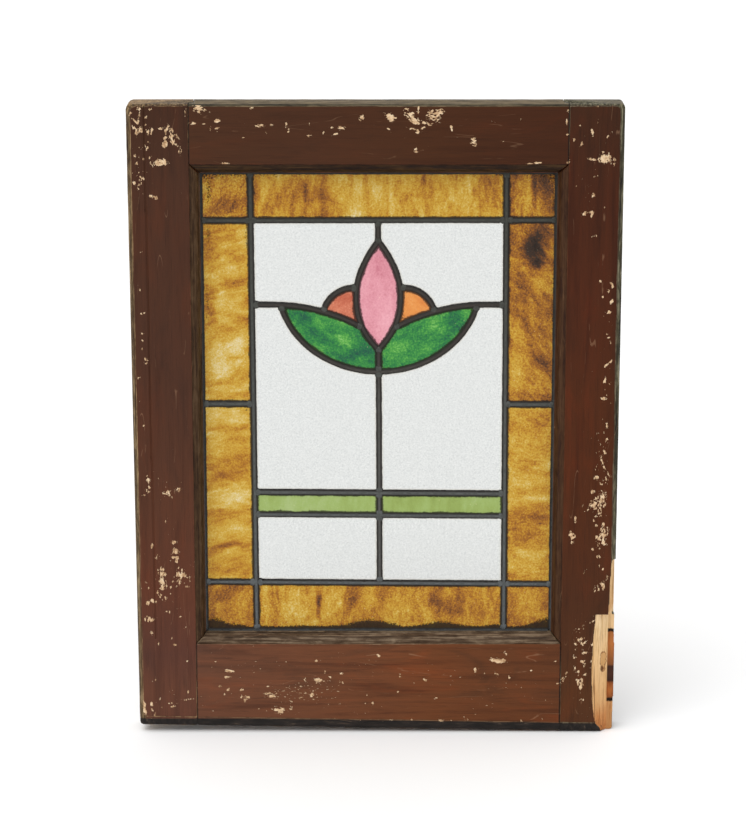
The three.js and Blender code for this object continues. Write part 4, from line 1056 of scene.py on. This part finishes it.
# Where soot and black specks lie, mostly along the sash: x, z, width, height, turn, how much.
SOOT = [
    (-165, 559, 9, 41, 0, 0.80), (175, 549, 6, 52, 0, 0.80), (152, 535, 40, 6, 0, 0.65), (158, 503, 13, 27, 0, 0.80),
    (160, 486, 9, 12, 0, 0.80), (149, 515, 14, 10, 0, 0.72),
    (-166, 514, 6, 31, 0, 0.80), (-129, 514, 6, 31, 0, 0.72), (-168, 448, 5, 62, 0, 0.72), (-127, 448, 4, 62, 0, 0.72),
    (133, 519, 6, 21, 0, 0.72), (176, 448, 5, 124, 0, 0.80),
    (179, 199, 5, 62, 0, 0.58), (-131, 335, 6, 8, 0, 0.72), (-127, 283, 4, 31, 0, 0.72), (137, 345, 6, 8, 0, 0.43),
]
# How high the band of soot stands along the foot of the glass, and how strong and how deep the specks are along its head: x, then millimetres.
FOOT_SOOT = np.array([
    (-173, 9), (-166, 11), (-158, 9), (-150, 5.5), (-136, 4.5), (-127, 3), (-117, 4), (-103, 3), (-78, 4), (-52, 3.5), (-32, 5), (-18, 8),
    (-8, 9.5), (4, 8.5), (16, 6.5), (27, 3.2),
    (37, 3.6), (50, 5.5), (64, 8), (78, 6.5), (91, 4.2), (106, 3.4), (118, 4.6), (124, 5.4), (130, 3), (142, 3), (152, 4), (163, 7.5), (176, 11),
])
HEAD_SOOT = np.array([
    (-170, 0.75, 15), (-150, 0.7, 11), (-126, 0.72, 9), (-100, 0.62, 10), (-60, 0.6, 9), (-30, 0.5, 7), (20, 0.5, 8), (60, 0.55, 9),
    (95, 0.6, 10), (118, 0.66, 12), (145, 0.6, 10), (176, 0.8, 20),
])
AMBER = [
    (0.1, (44, 25, 8)), (0.24, (94, 52, 10)), (0.36, (142, 85, 12)), (0.46, (172, 115, 18)),
    (0.55, (189, 143, 34)), (0.64, (199, 161, 58)), (0.74, (209, 183, 106)), (0.88, (222, 208, 172)),
]
LEAF = [(0.14, (8, 68, 58)), (0.32, (18, 97, 58)), (0.46, (34, 120, 54)), (0.58, (55, 138, 60)), (0.72, (86, 163, 62)), (0.86, (130, 190, 108))]
PINK = [(0.2, (186, 102, 120)), (0.4, (206, 131, 144)), (0.55, (219, 148, 160)), (0.75, (232, 170, 180))]
BAND = [(0.25, (128, 146, 70)), (0.42, (142, 162, 84)), (0.55, (150, 172, 98)), (0.75, (166, 184, 124))]
SALMON = [(0.2, (170, 70, 50)), (0.42, (188, 98, 70)), (0.58, (206, 122, 92)), (0.8, (224, 164, 130))]
ORANGE = [(0.2, (190, 100, 40)), (0.42, (210, 124, 56)), (0.58, (222, 142, 68)), (0.8, (234, 172, 104))]
# Each pane's tones, way of the streaks, how far along the tones it sits, how streaky and how grainy.
PANES = {
    "amber_foot_left": (AMBER, 70, 0.43, 0.3, 0.34), "amber_foot": (AMBER, 88, 0.485, 0.4, 0.36), "amber_foot_right": (AMBER, 95, 0.43, 0.3, 0.34),
    "amber_left_lower": (AMBER, 3, 0.565, 0.45, 0.28), "amber_left_upper": (AMBER, 20, 0.58, 0.5, 0.3), "amber_right_lower": (AMBER, -3, 0.54, 0.4, 0.34),
    "amber_right_upper": (AMBER, -50, 0.43, 0.5, 0.36), "amber_head_left": (AMBER, 50, 0.48, 0.4, 0.4), "amber_head": (AMBER, 88, 0.53, 0.5, 0.32),
    "amber_head_right": (AMBER, 88, 0.44, 0.5, 0.36), "green_band_left": (BAND, 90, 0.56, 0.4, 0.12), "green_band_right": (BAND, 90, 0.46, 0.4, 0.12),
    "petal": (PINK, 88, 0.54, 0.35, 0.3), "leaf_left": (LEAF, -32, 0.49, 0.5, 0.5), "leaf_right": (LEAF, 28, 0.56, 0.5, 0.5),
    "sepal_left": (SALMON, 60, 0.52, 0.5, 0.3), "sepal_right": (ORANGE, -60, 0.52, 0.4, 0.2),
}


def summed(points, marks):
    """All the soft oval patches added up, their rims moved about by lumps so that none looks oval."""
    moved = points + 3.2 * np.stack([lumps(points, 13, 61, 2), points[:, 1] * 0, lumps(points, 13, 67, 2)], 1)
    field = np.zeros(len(points))
    for x, z, wide, tall, turn, strength in marks:
        c, s = math.cos(math.radians(turn)), math.sin(math.radians(turn))
        u, v = moved[:, 0] - x, moved[:, 2] - z
        across, along = (u * c + v * s) * 2 / wide, (v * c - u * s) * 2 / tall
        field += strength * np.exp2(-((across * across + along * along) ** 1.4))
    return field


def darkened(points):
    """Soot on the outer panes: a band along the foot, solid where above one; specks along the head and the sides, thinner further in."""
    x, z = points[:, 0], points[:, 2]
    foot = 2.1 - 1.1 * (z - SIGHT_FOOT) / np.interp(x, FOOT_SOOT[:, 0], FOOT_SOOT[:, 1])
    head = np.interp(x, HEAD_SOOT[:, 0], HEAD_SOOT[:, 1]) * np.exp(-(((SIGHT_HEAD - z) / np.interp(x, HEAD_SOOT[:, 0], HEAD_SOOT[:, 2])) ** 2))
    side = 0.75 * np.exp(-((np.minimum(x - SIGHT_LEFT, SIGHT_RIGHT - x) / 3.2) ** 2))
    return np.maximum.reduce([np.clip(foot, 0, 1.6), head * 1.15, side, marked(points, SOOT)])


def pane(node, finish):
    """A pane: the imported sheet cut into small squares, keeping each point's patches, soot and distance from the leads."""
    shape, _ = opened(node)
    low, high = (np.array(corner) * 1000 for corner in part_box(node))
    faces = [f for f in shape.faces if abs(f.normal.y) > 0.9]
    for axis in (2, 0):
        faces = sliced(shape, faces, axis, np.arange(low[axis] + 1.8, high[axis] - 0.5, 1.8))
    thing = meshed(node + "_glass", shape)
    mesh = thing.data
    points, _ = places_of(mesh)
    note(mesh, "lead_gap", gap_to(points[:, [0, 2]], LEAD_STARTS, LEAD_ENDS) - LEAD_WIDTH / 2)
    if node in PANES:
        note(mesh, "tint", summed(points, PATCHES.get(node, [])))
        note(mesh, "soot", darkened(points) if node.startswith("amber") else points[:, 0] * 0)
    mesh.materials.append(finish)
    mesh.set_sharp_from_angle(angle=math.radians(40))
    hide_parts(node)
    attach(thing, "root")


thinned = [line[:: max(1, len(line) // 24)] if "border" not in name else line[[0, -1]] for name, line in LEAD_LINES.items()]
LEAD_STARTS = np.concatenate([line[:-1] for line in thinned])
LEAD_ENDS = np.concatenate([line[1:] for line in thinned])

see_through = clear_glass("clear grained glass")
for number, node in enumerate(sorted(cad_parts)):
    kind = node.split("_")[0]
    if kind == "clear":
        pane(node, see_through)
    elif node in PANES:
        tones, flow, lift, streaky, grainy = PANES[node]
        pane(node, streaked_glass(node.replace("_", " ") + " glass", tones, flow, 37 * number, lift, streaky, grainy))

# ---------------------------------------------------------------- floor, light and camera


def stage_floor():
    """A wide pale floor under the lowest corner of the sash."""
    low = bounds_at_load[0][2] * 1000
    points = np.array([(-9000, -5000, low), (9000, -5000, low), (9000, 16000, low), (-9000, 16000, low)], float)
    floor = meshed("floor", points=points, faces=[(0, 1, 2, 3)])
    made, _, shader = material("pale floor", Metallic=0.0, Roughness=0.9)
    shader.inputs["Base Color"].default_value = (0.9, 0.9, 0.9, 1)
    floor.data.materials.append(made)


stage_floor()
lamp = bpy.data.lights.new("soft light from above", "SUN")
lamp.energy, lamp.angle = 1.7, math.radians(50)
lamp_holder = bpy.data.objects.new("soft light from above", lamp)
lamp_holder.rotation_euler = Vector((0.35, 0.42, -1.0)).to_track_quat("-Z", "Y").to_euler()
bpy.context.collection.objects.link(lamp_holder)
world = bpy.data.worlds.new("pale room")
world.use_nodes = True
world.node_tree.nodes["Background"].inputs[0].default_value = (1, 1, 1, 1)
world.node_tree.nodes["Background"].inputs[1].default_value = 0.8
bpy.context.scene.world = world
bpy.context.scene.view_settings.view_transform = "Standard"

lens = bpy.data.cameras.new("camera")
lens.lens, lens.sensor_width = 127.6, 36.0
camera = bpy.data.objects.new("camera", lens)
camera.location = (-0.00305, -2.8845, 1.0673)
camera.rotation_euler = (math.radians(90 - 14.4), 0, 0)
bpy.context.collection.objects.link(camera)
bpy.context.scene.camera = camera
